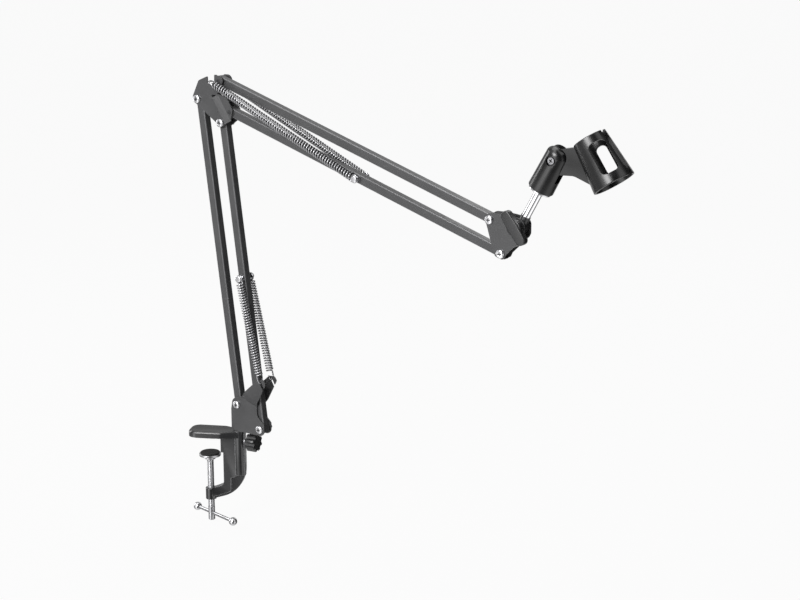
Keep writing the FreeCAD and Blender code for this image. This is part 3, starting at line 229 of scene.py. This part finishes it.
def bump(tree, shader, height, strength, depth):
    node = tree.nodes.new("ShaderNodeBump")
    node.inputs["Strength"].default_value = strength
    node.inputs["Distance"].default_value = depth
    tree.links.new(height, node.inputs["Height"])
    tree.links.new(node.outputs["Normal"], shader.inputs["Normal"])


def coated(name, colour, worn, rough, pebble, relief, gloss=0.3):
    """Paint or moulded plastic: a pebbled skin, cloudy gloss and a few handling marks."""
    material, tree, shader = new_material(name)
    shader.inputs["Specular IOR Level"].default_value = gloss
    coat = use_group(tree, SPRAYED_COAT, Pebble=pebble)
    scuffs = use_group(tree, HANDLING_MARKS)
    marks = calculate(tree, "MULTIPLY", scuffs["Marks"], MARK_STRENGTH)
    dark, light = ([level * shade for level in colour] for shade in PATCH_SHADES)
    patches = mix_colours(tree, coat["Patches"], dark, light)
    tree.links.new(mix_colours(tree, marks, patches, worn), shader.inputs["Base Color"])
    roughness = spread(tree, coat["Patches"], rough - PATCH_ROUGHNESS, rough + PATCH_ROUGHNESS)
    tree.links.new(roughness, shader.inputs["Roughness"])
    bump(tree, shader, coat["Height"], relief, PEBBLE_DEPTH)
    return material


def plated(name, colour, dull, rough, lines, relief):
    """Plated or bare metal with drawing lines and blotches in the plating."""
    material, tree, shader = new_material(name)
    shader.inputs["Metallic"].default_value = 1.0
    skin = use_group(tree, DRAWN_METAL, Lines=lines)
    blotches = spread(tree, skin["Blotch"], 0.0, 1.0)
    tree.links.new(mix_colours(tree, blotches, colour, dull), shader.inputs["Base Color"])
    roughness = spread(tree, skin["Lines"], rough - SMOOTH_LINE, rough + ROUGH_LINE)
    tree.links.new(roughness, shader.inputs["Roughness"])
    bump(tree, shader, skin["Lines"], relief, LINE_DEPTH)
    return material


powder_black = coated(
    "powder_black", (0.068, 0.068, 0.070), worn=(0.11, 0.11, 0.11),
    rough=0.33, pebble=1600, relief=0.06, gloss=0.4,
)
cast_black = coated(
    "cast_black", (0.024, 0.024, 0.025), worn=(0.05, 0.05, 0.05),
    rough=0.22, pebble=900, relief=0.05, gloss=0.55,
)
moulded_black = coated(
    "moulded_black", (0.006, 0.006, 0.0063), worn=(0.012, 0.012, 0.012),
    rough=0.27, pebble=2600, relief=0.02, gloss=0.5,
)
knob_black = coated(
    "knob_black", (0.020, 0.020, 0.021), worn=(0.035, 0.035, 0.035),
    rough=0.30, pebble=2200, relief=0.03, gloss=0.5,
)
rubber_black = coated(
    "rubber_black", (0.020, 0.020, 0.020), worn=(0.04, 0.04, 0.04),
    rough=0.80, pebble=1200, relief=0.30,
)
nylon_black = coated(
    "nylon_black", (0.030, 0.030, 0.030), worn=(0.05, 0.05, 0.05),
    rough=0.55, pebble=2000, relief=0.10,
)
# Painted highlights: lighter paint for tube corners and bevelled edges, where light would catch them
edge_painted_highlight = coated(
    "edge_painted_highlight", (0.15, 0.15, 0.155), worn=(0.24, 0.24, 0.24),
    rough=0.28, pebble=1600, relief=0.05, gloss=0.5,
)
cast_painted_highlight = coated(
    "cast_painted_highlight", (0.19, 0.19, 0.195), worn=(0.26, 0.26, 0.26),
    rough=0.26, pebble=900, relief=0.03, gloss=0.5,
)
zinc = plated(
    "zinc", (0.68, 0.68, 0.69), dull=(0.54, 0.54, 0.56),
    rough=0.20, lines=700, relief=0.03,
)
chrome = plated(
    "chrome", (0.84, 0.84, 0.85), dull=(0.79, 0.79, 0.81),
    rough=0.09, lines=300, relief=0.02,
)
screw_steel = plated(
    "screw_steel", (0.42, 0.42, 0.43), dull=(0.33, 0.33, 0.34),
    rough=0.34, lines=1200, relief=0.03,
)
dull_screw = plated(
    "dull_screw", (0.30, 0.30, 0.31), dull=(0.22, 0.22, 0.23),
    rough=0.30, lines=900, relief=0.04,
)
bar_steel = plated(
    "bar_steel", (0.50, 0.50, 0.51), dull=(0.40, 0.40, 0.41),
    rough=0.22, lines=900, relief=0.03,
)
black_zinc = plated(
    "black_zinc", (0.075, 0.075, 0.078), dull=(0.05, 0.05, 0.052),
    rough=0.34, lines=800, relief=0.06,
)
# Painted shade: a dark finish for the drive recesses in bolt heads
recess_painted_shade = plated(
    "recess_painted_shade", (0.045, 0.045, 0.046), dull=(0.03, 0.03, 0.031),
    rough=0.5, lines=900, relief=0.05,
)
spring_wire = plated(
    "spring_wire", (0.40, 0.40, 0.41), dull=(0.29, 0.29, 0.30),
    rough=0.22, lines=1500, relief=0.03,
)
# Painted shade: a dark finish for the inward faces of the coils
spring_painted_shade = plated(
    "spring_painted_shade", (0.07, 0.07, 0.072), dull=(0.04, 0.04, 0.042),
    rough=0.42, lines=1500, relief=0.05,
)

FINISH_OF_SLOT = {
    "cast_paint": cast_black,
    "sheet_paint": powder_black,
    "tube_paint": powder_black,
    "black_fastener": black_zinc,
    "spring_steel": spring_wire,
    "bright_steel": zinc,
    "stud_chrome": chrome,
    "screw_steel": screw_steel,
    "black_plastic": knob_black,
    "clip_plastic": moulded_black,
    "nylon": nylon_black,
    "pad_rubber": rubber_black,
}
FINISH_OF_NODE = {"hinge_screw": dull_screw, "t_bar": bar_steel, "t_bar_balls": bar_steel}
# Second finish of painted parts: the painted highlight on their corners and bevels
PAINTED_HIGHLIGHT_OF_SLOT = {"tube_paint": edge_painted_highlight, "sheet_paint": edge_painted_highlight, "cast_paint": cast_painted_highlight}

# CAD nodes with their edges broken, as pressed, cast and moulded edges are; sizes in millimetres
SLOT_OF_NODE = {entry["node"]: entry["material_slot"] for entry in frame["record"]["subparts"]}
BODY_OF_NODE = {
    node: body for body, members in frame["record"]["behaviour"]["bodies"].items() for node in members
}
MADE_ANEW = (
    "clamp_screw", "lower_spring_front", "lower_spring_rear", "upper_spring_front", "upper_spring_rear",
)
SHARP_ANGLE = 35.0
FLAT_ANGLE = 0.5
WELD = 0.0005
BEVEL_SEGMENTS = 2
EDGE_OF_NODE = {
    "clamp_frame": 0.4,
    "jaw_pad": 0.3,
    "foot_pad": 0.3,
    "pressure_foot": 0.4,
    "base_bracket": 0.25,
    "elbow_front_plate": 0.25,
    "elbow_rear_plate": 0.25,
    "head_bracket": 0.25,
    "lower_front_tube": 0.15,
    "lower_rear_tube": 0.15,
    "upper_top_tube": 0.15,
    "upper_bottom_tube": 0.15,
    "tilt_knob": 0.35,
    "lock_knob": 0.3,
    "clip_base": 0.6,
    "clip_cup": 0.8,
    "stud_knuckle": 0.5,
    "base_nuts": 0.25,
    "elbow_nuts": 0.25,
    "head_nuts": 0.25,
}
# How squarely a face of a tube's rounded corners looks across the arm
CORNER_FACING = (0.12, 0.985)
# The casting: half the thickness of its web and of its sunk panel, and the bevel between them, painted
# lighter as a highlight
CASTING = "clamp_frame"
WEB = 5.5
PANEL = 4.0
PANEL_EDGE = 0.9
LEVEL_SLACK = 0.01
WALL_FACING = 0.1
# Bolts with a drive recess, and where the recess lies in their heads
CROSS_HEADS = ("base_bolts", "elbow_bolts", "head_bolts", "hinge_screw")
HEAD_DEPTH = 2.0
RECESS_LIP = 0.2
RECESS_REACH = 2.6


def make_piece(name, bm, material, sharp=SHARP_ANGLE):
    """Turns a bmesh into a smooth-shaded object of the scene."""
    mesh = bpy.data.meshes.new(name)
    bm.to_mesh(mesh)
    bm.free()
    mesh.shade_smooth()
    mesh.set_sharp_from_angle(angle=math.radians(sharp))
    piece = bpy.data.objects.new(name, mesh)
    bpy.context.scene.collection.objects.link(piece)
    piece.data.materials.append(material)
    return piece


def carry(piece, node):
    """The piece stands for this CAD node and rides on its body."""
    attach(piece, BODY_OF_NODE[node])
    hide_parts(node)


def merged_copy(node):
    """A node's mesh with its loose triangles joined and its flat faces made whole."""
    bm = bmesh.new()
    bm.from_mesh(nodes[node].data)
    bmesh.ops.remove_doubles(bm, verts=bm.verts, dist=WELD * MM)
    bmesh.ops.dissolve_limit(bm, angle_limit=math.radians(FLAT_ANGLE), verts=bm.verts, edges=bm.edges)
    return bm


def paint_corner_highlight(bm):
    """The rounded corners of a tube take the second finish, a lighter painted highlight."""
    across = across_arm()
    low, high = CORNER_FACING
    for face in bm.faces:
        if low < abs(face.normal.dot(across)) < high:
            face.material_index = 1


def near_level(height, level):
    return abs(height - level * MM) < LEVEL_SLACK * MM


def borders_panel(edge):
    """Whether the casting's web drops to its sunk panel at this edge."""
    if len(edge.link_faces) != 2 or not all(near_level(abs(vert.co.y), WEB) for vert in edge.verts):
        return False
    for face in edge.link_faces:
        foot = min(abs(vert.co.y) for vert in face.verts)
        if abs(face.normal.y) < WALL_FACING and near_level(foot, PANEL):
            return True
    return False


def paint_panel_highlight(bm):
    """The web of the casting ends in a broad bevel where the sunk panel starts, painted lighter as a
    highlight.
    """
    made = bmesh.ops.bevel(
        bm,
        geom=[edge for edge in bm.edges if borders_panel(edge)],
        offset=PANEL_EDGE * MM,
        offset_type="OFFSET",
        affect="EDGES",
        segments=1,
        profile=0.5,
        material=-1,
        clamp_overlap=True,
    )
    for face in made["faces"]:
        face.material_index = 1


def shells(bm):
    """The separate shells of a mesh, each as a list of its faces."""
    loose = set(bm.faces)
    while loose:
        shell = [loose.pop()]
        for face in shell:
            for edge in face.edges:
                fresh = loose.intersection(edge.link_faces)
                loose -= fresh
                shell.extend(fresh)
        yield shell


def paint_recess_shade(bm):
    """The drive recess in each bolt's head takes the second finish, a painted shade."""
    axis = across_arm()
    for bolt in shells(bm):
        points = [vert.co for face in bolt for vert in face.verts]
        front = min(points, key=axis.dot).dot(axis)
        shank = [point for point in points if point.dot(axis) > front + HEAD_DEPTH * MM]
        middle = sum(shank, Vector()) / len(shank)
        for face in bolt:
            spot = face.calc_center_median()
            away = spot - middle
            away -= axis * away.dot(axis)
            depth = spot.dot(axis) - front
            if away.length < RECESS_REACH * MM and RECESS_LIP * MM < depth < HEAD_DEPTH * MM:
                face.material_index = 1


def dress(node):
    """A copy of a node with its sharp edges bevelled, in its slot's finish."""
    bm = merged_copy(node)
    slot = SLOT_OF_NODE[node]
    if slot == "tube_paint":
        paint_corner_highlight(bm)
    if node == CASTING:
        paint_panel_highlight(bm)
    if node in CROSS_HEADS:
        paint_recess_shade(bm)
    piece = make_piece(f"{node}_dressed", bm, FINISH_OF_NODE.get(node, FINISH_OF_SLOT[slot]))
    # Second finish: painted shade in a bolt's recess, painted highlight on painted parts
    if node in CROSS_HEADS:
        piece.data.materials.append(recess_painted_shade)
    if slot in PAINTED_HIGHLIGHT_OF_SLOT:
        piece.data.materials.append(PAINTED_HIGHLIGHT_OF_SLOT[slot])
    if node in EDGE_OF_NODE:
        soften = piece.modifiers.new("broken_edges", "BEVEL")
        soften.width = EDGE_OF_NODE[node] * MM
        soften.segments = BEVEL_SEGMENTS
        soften.limit_method = "ANGLE"
        soften.angle_limit = math.radians(SHARP_ANGLE)
        soften.harden_normals = True
        soften.use_clamp_overlap = node != CASTING
        # The bevels of plates and the casting take the painted highlight
        if slot in PAINTED_HIGHLIGHT_OF_SLOT and slot != "tube_paint":
            soften.material = 1
    carry(piece, node)


for node in nodes:
    if node not in MADE_ANEW:
        dress(node)

# Clamp screw: the CAD screw's two ends with a cut thread between them; sizes in millimetres
PITCH = 1.25
CREST = 4.0
ROOT = 3.35
CREST_SHARES = (0.4, 0.6)
THREAD_LOW = -90.0
THREAD_TURNS = 48
STEPS_PER_THREAD = 24
THREAD_WELD = 0.002
THREAD_SHARP = 28.0
CORE_OVERLAP = 0.05
CORE_SIDES = 32
CUT_SLACK = 0.001


def keep_side(bm, height, upward):
    """Cuts a shape at a height, keeps one side of it and closes the cut."""
    found = bmesh.ops.bisect_plane(
        bm,
        geom=bm.verts[:] + bm.edges[:] + bm.faces[:],
        dist=CUT_SLACK * MM,
        plane_co=(0, 0, height * MM),
        plane_no=(0, 0, 1 if upward else -1),
        clear_inner=True,
    )
    rim = [item for item in found["geom_cut"] if isinstance(item, bmesh.types.BMEdge)]
    bmesh.ops.edgeloop_fill(bm, edges=rim)


def add_ridge(bm):
    """Winds the thread's flanks and crest up the screw, with their faces looking outward."""
    rise, fall = (PITCH * share for share in CREST_SHARES)
    outline = ((ROOT, 0), (CREST, rise), (CREST, fall), (ROOT, PITCH))
    flanks = [bm.verts.new((radius * MM, 0, (THREAD_LOW + height) * MM)) for radius, height in outline]
    ridge = [bm.edges.new(pair) for pair in zip(flanks, flanks[1:])]
    turns = THREAD_TURNS - 1
    bmesh.ops.spin(
        bm,
        geom=flanks + ridge,
        cent=(0, 0, 0),
        axis=(0, 0, 1),
        angle=2 * math.pi * turns,
        steps=STEPS_PER_THREAD * turns,
        dvec=(0, 0, PITCH * MM / STEPS_PER_THREAD),
        use_merge=False,
    )
    bmesh.ops.remove_doubles(bm, verts=bm.verts, dist=THREAD_WELD * MM)
    bmesh.ops.recalc_face_normals(bm, faces=bm.faces)
    level = Vector((1, 1, 0))
    if sum(face.normal.dot(face.calc_center_median() * level) for face in bm.faces) < 0:
        bmesh.ops.reverse_faces(bm, faces=bm.faces)


def threaded_screw():
    thread_top = THREAD_LOW + PITCH * THREAD_TURNS
    core_radius = (ROOT + CORE_OVERLAP) * MM
    bm = bmesh.new()
    add_ridge(bm)
    core = bmesh.ops.create_cone(
        bm,
        cap_ends=True,
        segments=CORE_SIDES,
        radius1=core_radius,
        radius2=core_radius,
        depth=PITCH * THREAD_TURNS * MM,
    )
    bmesh.ops.translate(bm, verts=core["verts"], vec=(0, 0, (THREAD_LOW + thread_top) / 2 * MM))
    for height, upward in ((THREAD_LOW + PITCH / 2, False), (thread_top - PITCH / 2, True)):
        end = merged_copy("clamp_screw")
        keep_side(end, height, upward)
        spare = bpy.data.meshes.new("screw_end")
        end.to_mesh(spare)
        end.free()
        bm.from_mesh(spare)
        bpy.data.meshes.remove(spare)
    carry(make_piece("clamp_screw_thread", bm, screw_steel, THREAD_SHARP), "clamp_screw")


threaded_screw()

# Tension springs; sizes in millimetres
WIRE = 0.9
COIL = 3.8
BEND = 1.5
LOOP = math.hypot(COIL, BEND)
PIN_RADIUS = 2.5
EYE_SIDE = 10.2
WIRE_SIDES = 8
WIRE_WELD = 0.001
WIRE_SHARP = 60.0
STEPS_PER_TURN = 20
BEND_STEPS = 6
EYE_TURN = math.radians(285)
EYE_STEPS = 26
HOOK_TURN = math.radians(200)
HOOK_STEPS = 18
INSIDE_FACING = 0.3
# A seat is where the hook passes through its plate, along and up the arm's plane.
# The bend shares mark two points along a spring's length.
SPRINGS = {
    "lower": {
        "seat": (42.4, 76.9),
        "seat_side": EYE_SIDE,
        "turns": 36,
        "hook_radius": LOOP,
        "hook_bite": 0.0,
        "hook_lead": 4.5,
        "eye_lead": 4.0,
        "bodies": ("base", "lower_front"),
        "bend_shares": (0.03, 0.95),
        "held_straight": True,
    },
    "upper": {
        "seat": (-19.25, 423.4),
        "seat_side": 13.5,
        "turns": 60,
        "hook_radius": 5.3,
        "hook_bite": 4.4,
        "hook_lead": 2.0,
        "eye_lead": 3.0,
        "bodies": ("elbow", "upper_bottom"),
        "bend_shares": (0.02, 0.22),
        "held_straight": False,
    },
}


def sweep(bm, ring, centre, axis, angle, steps, rise=Vector((0, 0, 0))):
    """Carries a ring of edges round an axis, rising evenly, and returns the last ring."""
    found = bmesh.ops.spin(
        bm,
        geom=ring,
        cent=centre,
        axis=axis,
        dvec=rise / steps,
        angle=angle,
        steps=steps,
        use_merge=False,
    )
    return [item for item in found["geom_last"] if isinstance(item, bmesh.types.BMEdge)]


def straight(bm, ring, move):
    """Carries a ring of edges straight on and returns the last ring."""
    found = bmesh.ops.extrude_edge_only(bm, edges=ring)
    points = [item for item in found["geom"] if isinstance(item, bmesh.types.BMVert)]
    bmesh.ops.translate(bm, verts=points, vec=move)
    edges = [item for item in found["geom"] if isinstance(item, bmesh.types.BMEdge)]
    return [edge for edge in edges if all(vert in points for vert in edge.verts)]


def wound_wire(spring, seat, pin, side):
    """One spring's wire, from a hook through a plate over its turns to an eye round a pin."""
    ahead = (pin - seat).normalized()
    outward = across_arm(side)
    outward = (outward - ahead * outward.dot(ahead)).normalized()
    across = ahead.cross(outward)
    hook_centre = math.sqrt(spring["hook_radius"] ** 2 - spring["hook_bite"] ** 2)
    first = hook_centre + spring["hook_lead"] + BEND
    eye_centre = (pin - seat).length / MM - (LOOP - WIRE - PIN_RADIUS)
    last = eye_centre - spring["eye_lead"] - BEND
    begin = math.atan2(BEND, COIL)
    finish = math.atan2(COIL, BEND) + 2 * math.pi * spring["turns"]

    def spot(place, out, over):
        return seat + (ahead * place + outward * out + across * over) * MM

    def on_coil(place, turn):
        return spot(place, COIL * math.cos(turn), COIL * math.sin(turn))

    def along_coil(turn):
        return (across * math.cos(turn) - outward * math.sin(turn)).normalized()

    bm = bmesh.new()
    bmesh.ops.create_circle(bm, segments=WIRE_SIDES, radius=WIRE * MM)
    facing = Vector((0, 0, 1)).rotation_difference(along_coil(begin)).to_matrix().to_4x4()
    bmesh.ops.transform(bm, matrix=Matrix.Translation(on_coil(first, begin)) @ facing, verts=bm.verts)
    first_ring = list(bm.edges)
    steps = round((finish - begin) / (2 * math.pi) * STEPS_PER_TURN)
    climb = ahead * (last - first) * MM
    ring = sweep(bm, first_ring, spot(first, 0, 0), ahead, finish - begin, steps, climb)
    bend_axis = along_coil(finish).cross(ahead)
    ring = sweep(bm, ring, on_coil(last + BEND, finish), bend_axis, math.pi / 2, BEND_STEPS)
    ring = straight(bm, ring, ahead * spring["eye_lead"] * MM)
    ring = sweep(bm, ring, spot(eye_centre, 0, 0), outward, EYE_TURN, EYE_STEPS)
    bmesh.ops.edgeloop_fill(bm, edges=ring)
    bend_axis = along_coil(begin).cross(ahead)
    ring = sweep(bm, first_ring, on_coil(first - BEND, begin), bend_axis, math.pi / 2, BEND_STEPS)
    ring = straight(bm, ring, -ahead * spring["hook_lead"] * MM)
    hook_middle = spot(hook_centre, LOOP - spring["hook_radius"], 0)
    ring = sweep(bm, ring, hook_middle, across, HOOK_TURN, HOOK_STEPS)
    bmesh.ops.edgeloop_fill(bm, edges=ring)
    bmesh.ops.remove_doubles(bm, verts=bm.verts, dist=WIRE_WELD * MM)
    bmesh.ops.recalc_face_normals(bm, faces=bm.faces)
    # Coil faces that look inward take the painted shade
    for face in bm.faces:
        middle = face.calc_center_median()
        along = (middle - seat).dot(ahead)
        inward = seat + ahead * along - middle
        if first * MM < along < last * MM and face.normal.dot(inward.normalized()) > INSIDE_FACING:
            face.material_index = 1
    return bm


def hold_straight(piece, bodies, start, end):
    """Works out, for each vertex of a piece, how far it lies from start to end and its lever about the
    joint's axis; nothing is written.
    """
    joint = next(item for item in frame["joints"] if (item["parent"], item["child"]) == bodies)
    axis = Vector(joint["axis"])
    levers = [point - Vector(joint["pos_m"]) for point in (start, end)]
    near, far = (lever - axis * lever.dot(axis) for lever in levers)
    run = end - start
    for vertex in piece.data.vertices:
        along = (vertex.co - start).dot(run) / run.length_squared
        along = min(max(along, 0.0), 1.0)
        lever = near.lerp(far, along)


def tension_spring(arm, name, side):
    """One spring of an arm, wound between the two bodies that it joins."""
    spring = SPRINGS[arm]
    node = f"{arm}_spring_{name}"
    run, rise = spring["seat"]
    seat = in_arm(run, side * spring["seat_side"], rise)
    low, high = (Vector(corner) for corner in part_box(f"{arm}_spring_pin"))
    pin = (low + high) / 2 + across_arm(side) * EYE_SIDE * MM
    piece = make_piece(f"{node}_wire", wound_wire(spring, seat, pin, side), spring_wire, WIRE_SHARP)
    piece.data.materials.append(spring_painted_shade)
    ends = [seat.lerp(pin, share) for share in spring["bend_shares"]]
    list(spring["bodies"])
    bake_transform(piece)
    if spring["held_straight"]:
        hold_straight(piece, spring["bodies"], *ends)
    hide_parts(node)


for name, side in (("front", -1), ("rear", 1)):
    for arm in SPRINGS:
        tension_spring(arm, name, side)

# Floor, light and camera; places and sizes in metres
FLOOR_DROP = 0.112
FLOOR_REACH = 30.0
FLOOR_GREY = (0.4, 0.4, 0.4, 1)
FLOOR_ROUGHNESS = 0.9
FLOOR_GLOW = 0.95
AMBIENT = 0.11
EYE = (0.5431, -1.8761, 0.6403)
AIM = (0.2474, -0.0981, 0.2008)
LENS = 76.5
SENSOR = 36
LAMP_AIM = (0.25, -0.1, 0.2)
LAMPS = {
    "key": {"place": (-0.7, -2.1, 1.3), "size": (1.2, 1.2), "power": 58},
    "side": {"place": (-1.5, 0.5, 0.5), "size": (0.5, 1.6), "power": 14},
    "top": {"place": (0.1, 0.1, 1.9), "size": (1.4, 0.9), "power": 12},
    "rim": {"place": (0.9, 1.6, 1.0), "size": (1.0, 0.8), "power": 4},
}
# Level of light by compass turn in degrees from the camera, left turns below zero
HALF_TURN = 180
STRIPS = (
    (-180, 0.7), (-150, 0.7), (-125, 0.35), (-95, 0.6), (-68, 0.7), (-57, 3.2), (-38, 3.2), (-22, 0.4),
    (0, 0.09), (24, 0.09), (36, 1.5), (74, 1.5), (86, 0.05), (130, 0.04), (150, 0.7), (180, 0.7),
)
# Level of light by the sine of the height above the skyline
SKYLINE = (
    (-1.0, 0.3), (-0.65, 0.4), (-0.4, 1.0), (0.0, 1.0), (0.12, 0.35), (0.28, 0.35), (0.42, 1.1), (1.0, 1.1),
)
# Level of the pale ground by the same sine
BELOW = ((-1.0, 0.9), (-0.8, 0.9), (-0.6, 0.0), (1.0, 0.0))


def step_curve(tree, value, reach, stops, stop_reach):
    """Reads a value between minus and plus its reach off a row of (place, level) stops."""
    share = tree.nodes.new("ShaderNodeMapRange")
    share.inputs["From Min"].default_value = -reach
    share.inputs["From Max"].default_value = reach
    tree.links.new(value, share.inputs["Value"])
    ramp = tree.nodes.new("ShaderNodeValToRGB")
    ramp.color_ramp.interpolation = "EASE"
    knots = ramp.color_ramp.elements
    while len(knots) < len(stops):
        knots.new(1.0)
    for knot, (place, level) in zip(knots, stops):
        knot.position = (place / stop_reach + 1) / 2
        knot.color = (level, level, level, 1)
    tree.links.new(share.outputs["Result"], ramp.inputs["Fac"])
    return ramp.outputs["Color"]


def light_strips(tree, way):
    """What a reflection sees along a direction: tall strips of light, dark gaps and a dark skyline."""
    turned = tree.nodes.new("ShaderNodeVectorRotate")
    turned.rotation_type = "Z_AXIS"
    turned.inputs["Angle"].default_value = -math.atan2(EYE[1] - AIM[1], EYE[0] - AIM[0])
    tree.links.new(way, turned.inputs["Vector"])
    parts = tree.nodes.new("ShaderNodeSeparateXYZ")
    tree.links.new(turned.outputs["Vector"], parts.inputs["Vector"])
    compass = calculate(tree, "ARCTAN2", parts.outputs["Y"], parts.outputs["X"])
    round_about = step_curve(tree, compass, math.pi, STRIPS, HALF_TURN)
    upright = step_curve(tree, parts.outputs["Z"], 1.0, SKYLINE, 1)
    below = step_curve(tree, parts.outputs["Z"], 1.0, BELOW, 1)
    strips = mix_colours(tree, 1.0, round_about, upright, "MULTIPLY")
    return mix_colours(tree, 1.0, strips, below, "ADD")


def seen_directly(tree, rays):
    """1 for what the camera sees, straight or through glass."""
    return calculate(tree, "MAXIMUM", rays.outputs["Is Camera Ray"], rays.outputs["Is Transmission Ray"])


def pale_floor():
    """A pale floor that takes the arm's shadow and that reflections look past."""
    bm = bmesh.new()
    bmesh.ops.create_grid(bm, x_segments=1, y_segments=1, size=FLOOR_REACH)
    bmesh.ops.translate(bm, verts=bm.verts, vec=(0, 0, -FLOOR_DROP))
    material, tree, shader = new_material("pale_floor")
    shader.inputs["Base Color"].default_value = FLOOR_GREY
    shader.inputs["Roughness"].default_value = FLOOR_ROUGHNESS
    shader.inputs["Specular IOR Level"].default_value = 0.0
    rays = tree.nodes.new("ShaderNodeLightPath")
    glow = tree.nodes.new("ShaderNodeEmission")
    glow.inputs["Color"].default_value = (1, 1, 1, 1)
    mix = tree.nodes.new("ShaderNodeMixShader")
    share = calculate(tree, "MULTIPLY", seen_directly(tree, rays), FLOOR_GLOW)
    tree.links.new(share, mix.inputs["Fac"])
    tree.links.new(shader.outputs["BSDF"], mix.inputs[1])
    tree.links.new(glow.outputs["Emission"], mix.inputs[2])
    tree.links.new(mix.outputs["Shader"], tree.nodes["Material Output"].inputs["Surface"])
    floor = make_piece("floor", bm, material)
    floor.visible_glossy = False


def place_facing(name, data, place, target):
    """Puts a lamp or camera at a place, looking at a target."""
    holder = bpy.data.objects.new(name, data)
    holder.location = place
    holder.rotation_euler = (Vector(target) - Vector(place)).to_track_quat("-Z", "Y").to_euler()
    bpy.context.scene.collection.objects.link(holder)
    return holder


def soft_box(name, place, size, power):
    lamp = bpy.data.lights.new(name, "AREA")
    lamp.shape = "RECTANGLE"
    lamp.size, lamp.size_y = size
    lamp.energy = power
    place_facing(name, lamp, place, LAMP_AIM)


def studio():
    """A white surround that reflections see as strips of light, and soft lamps."""
    world = bpy.data.worlds.new("studio")
    world.use_nodes = True
    tree = world.node_tree
    background = tree.nodes["Background"]
    rays = tree.nodes.new("ShaderNodeLightPath")
    way = tree.nodes.new("ShaderNodeTexCoord")
    strips = light_strips(tree, way.outputs["Generated"])
    ambient = mix_colours(tree, rays.outputs["Is Glossy Ray"], AMBIENT, strips)
    tree.links.new(mix_colours(tree, seen_directly(tree, rays), ambient, 1.0), background.inputs["Color"])
    bpy.context.scene.world = world
    for name, lamp in LAMPS.items():
        soft_box(name, **lamp)


def camera():
    data = bpy.data.cameras.new("camera")
    data.lens = LENS
    data.sensor_width = SENSOR
    bpy.context.scene.camera = place_facing("camera", data, EYE, AIM)


pale_floor()
studio()
camera()
bpy.context.scene.view_settings.view_transform = "Standard"
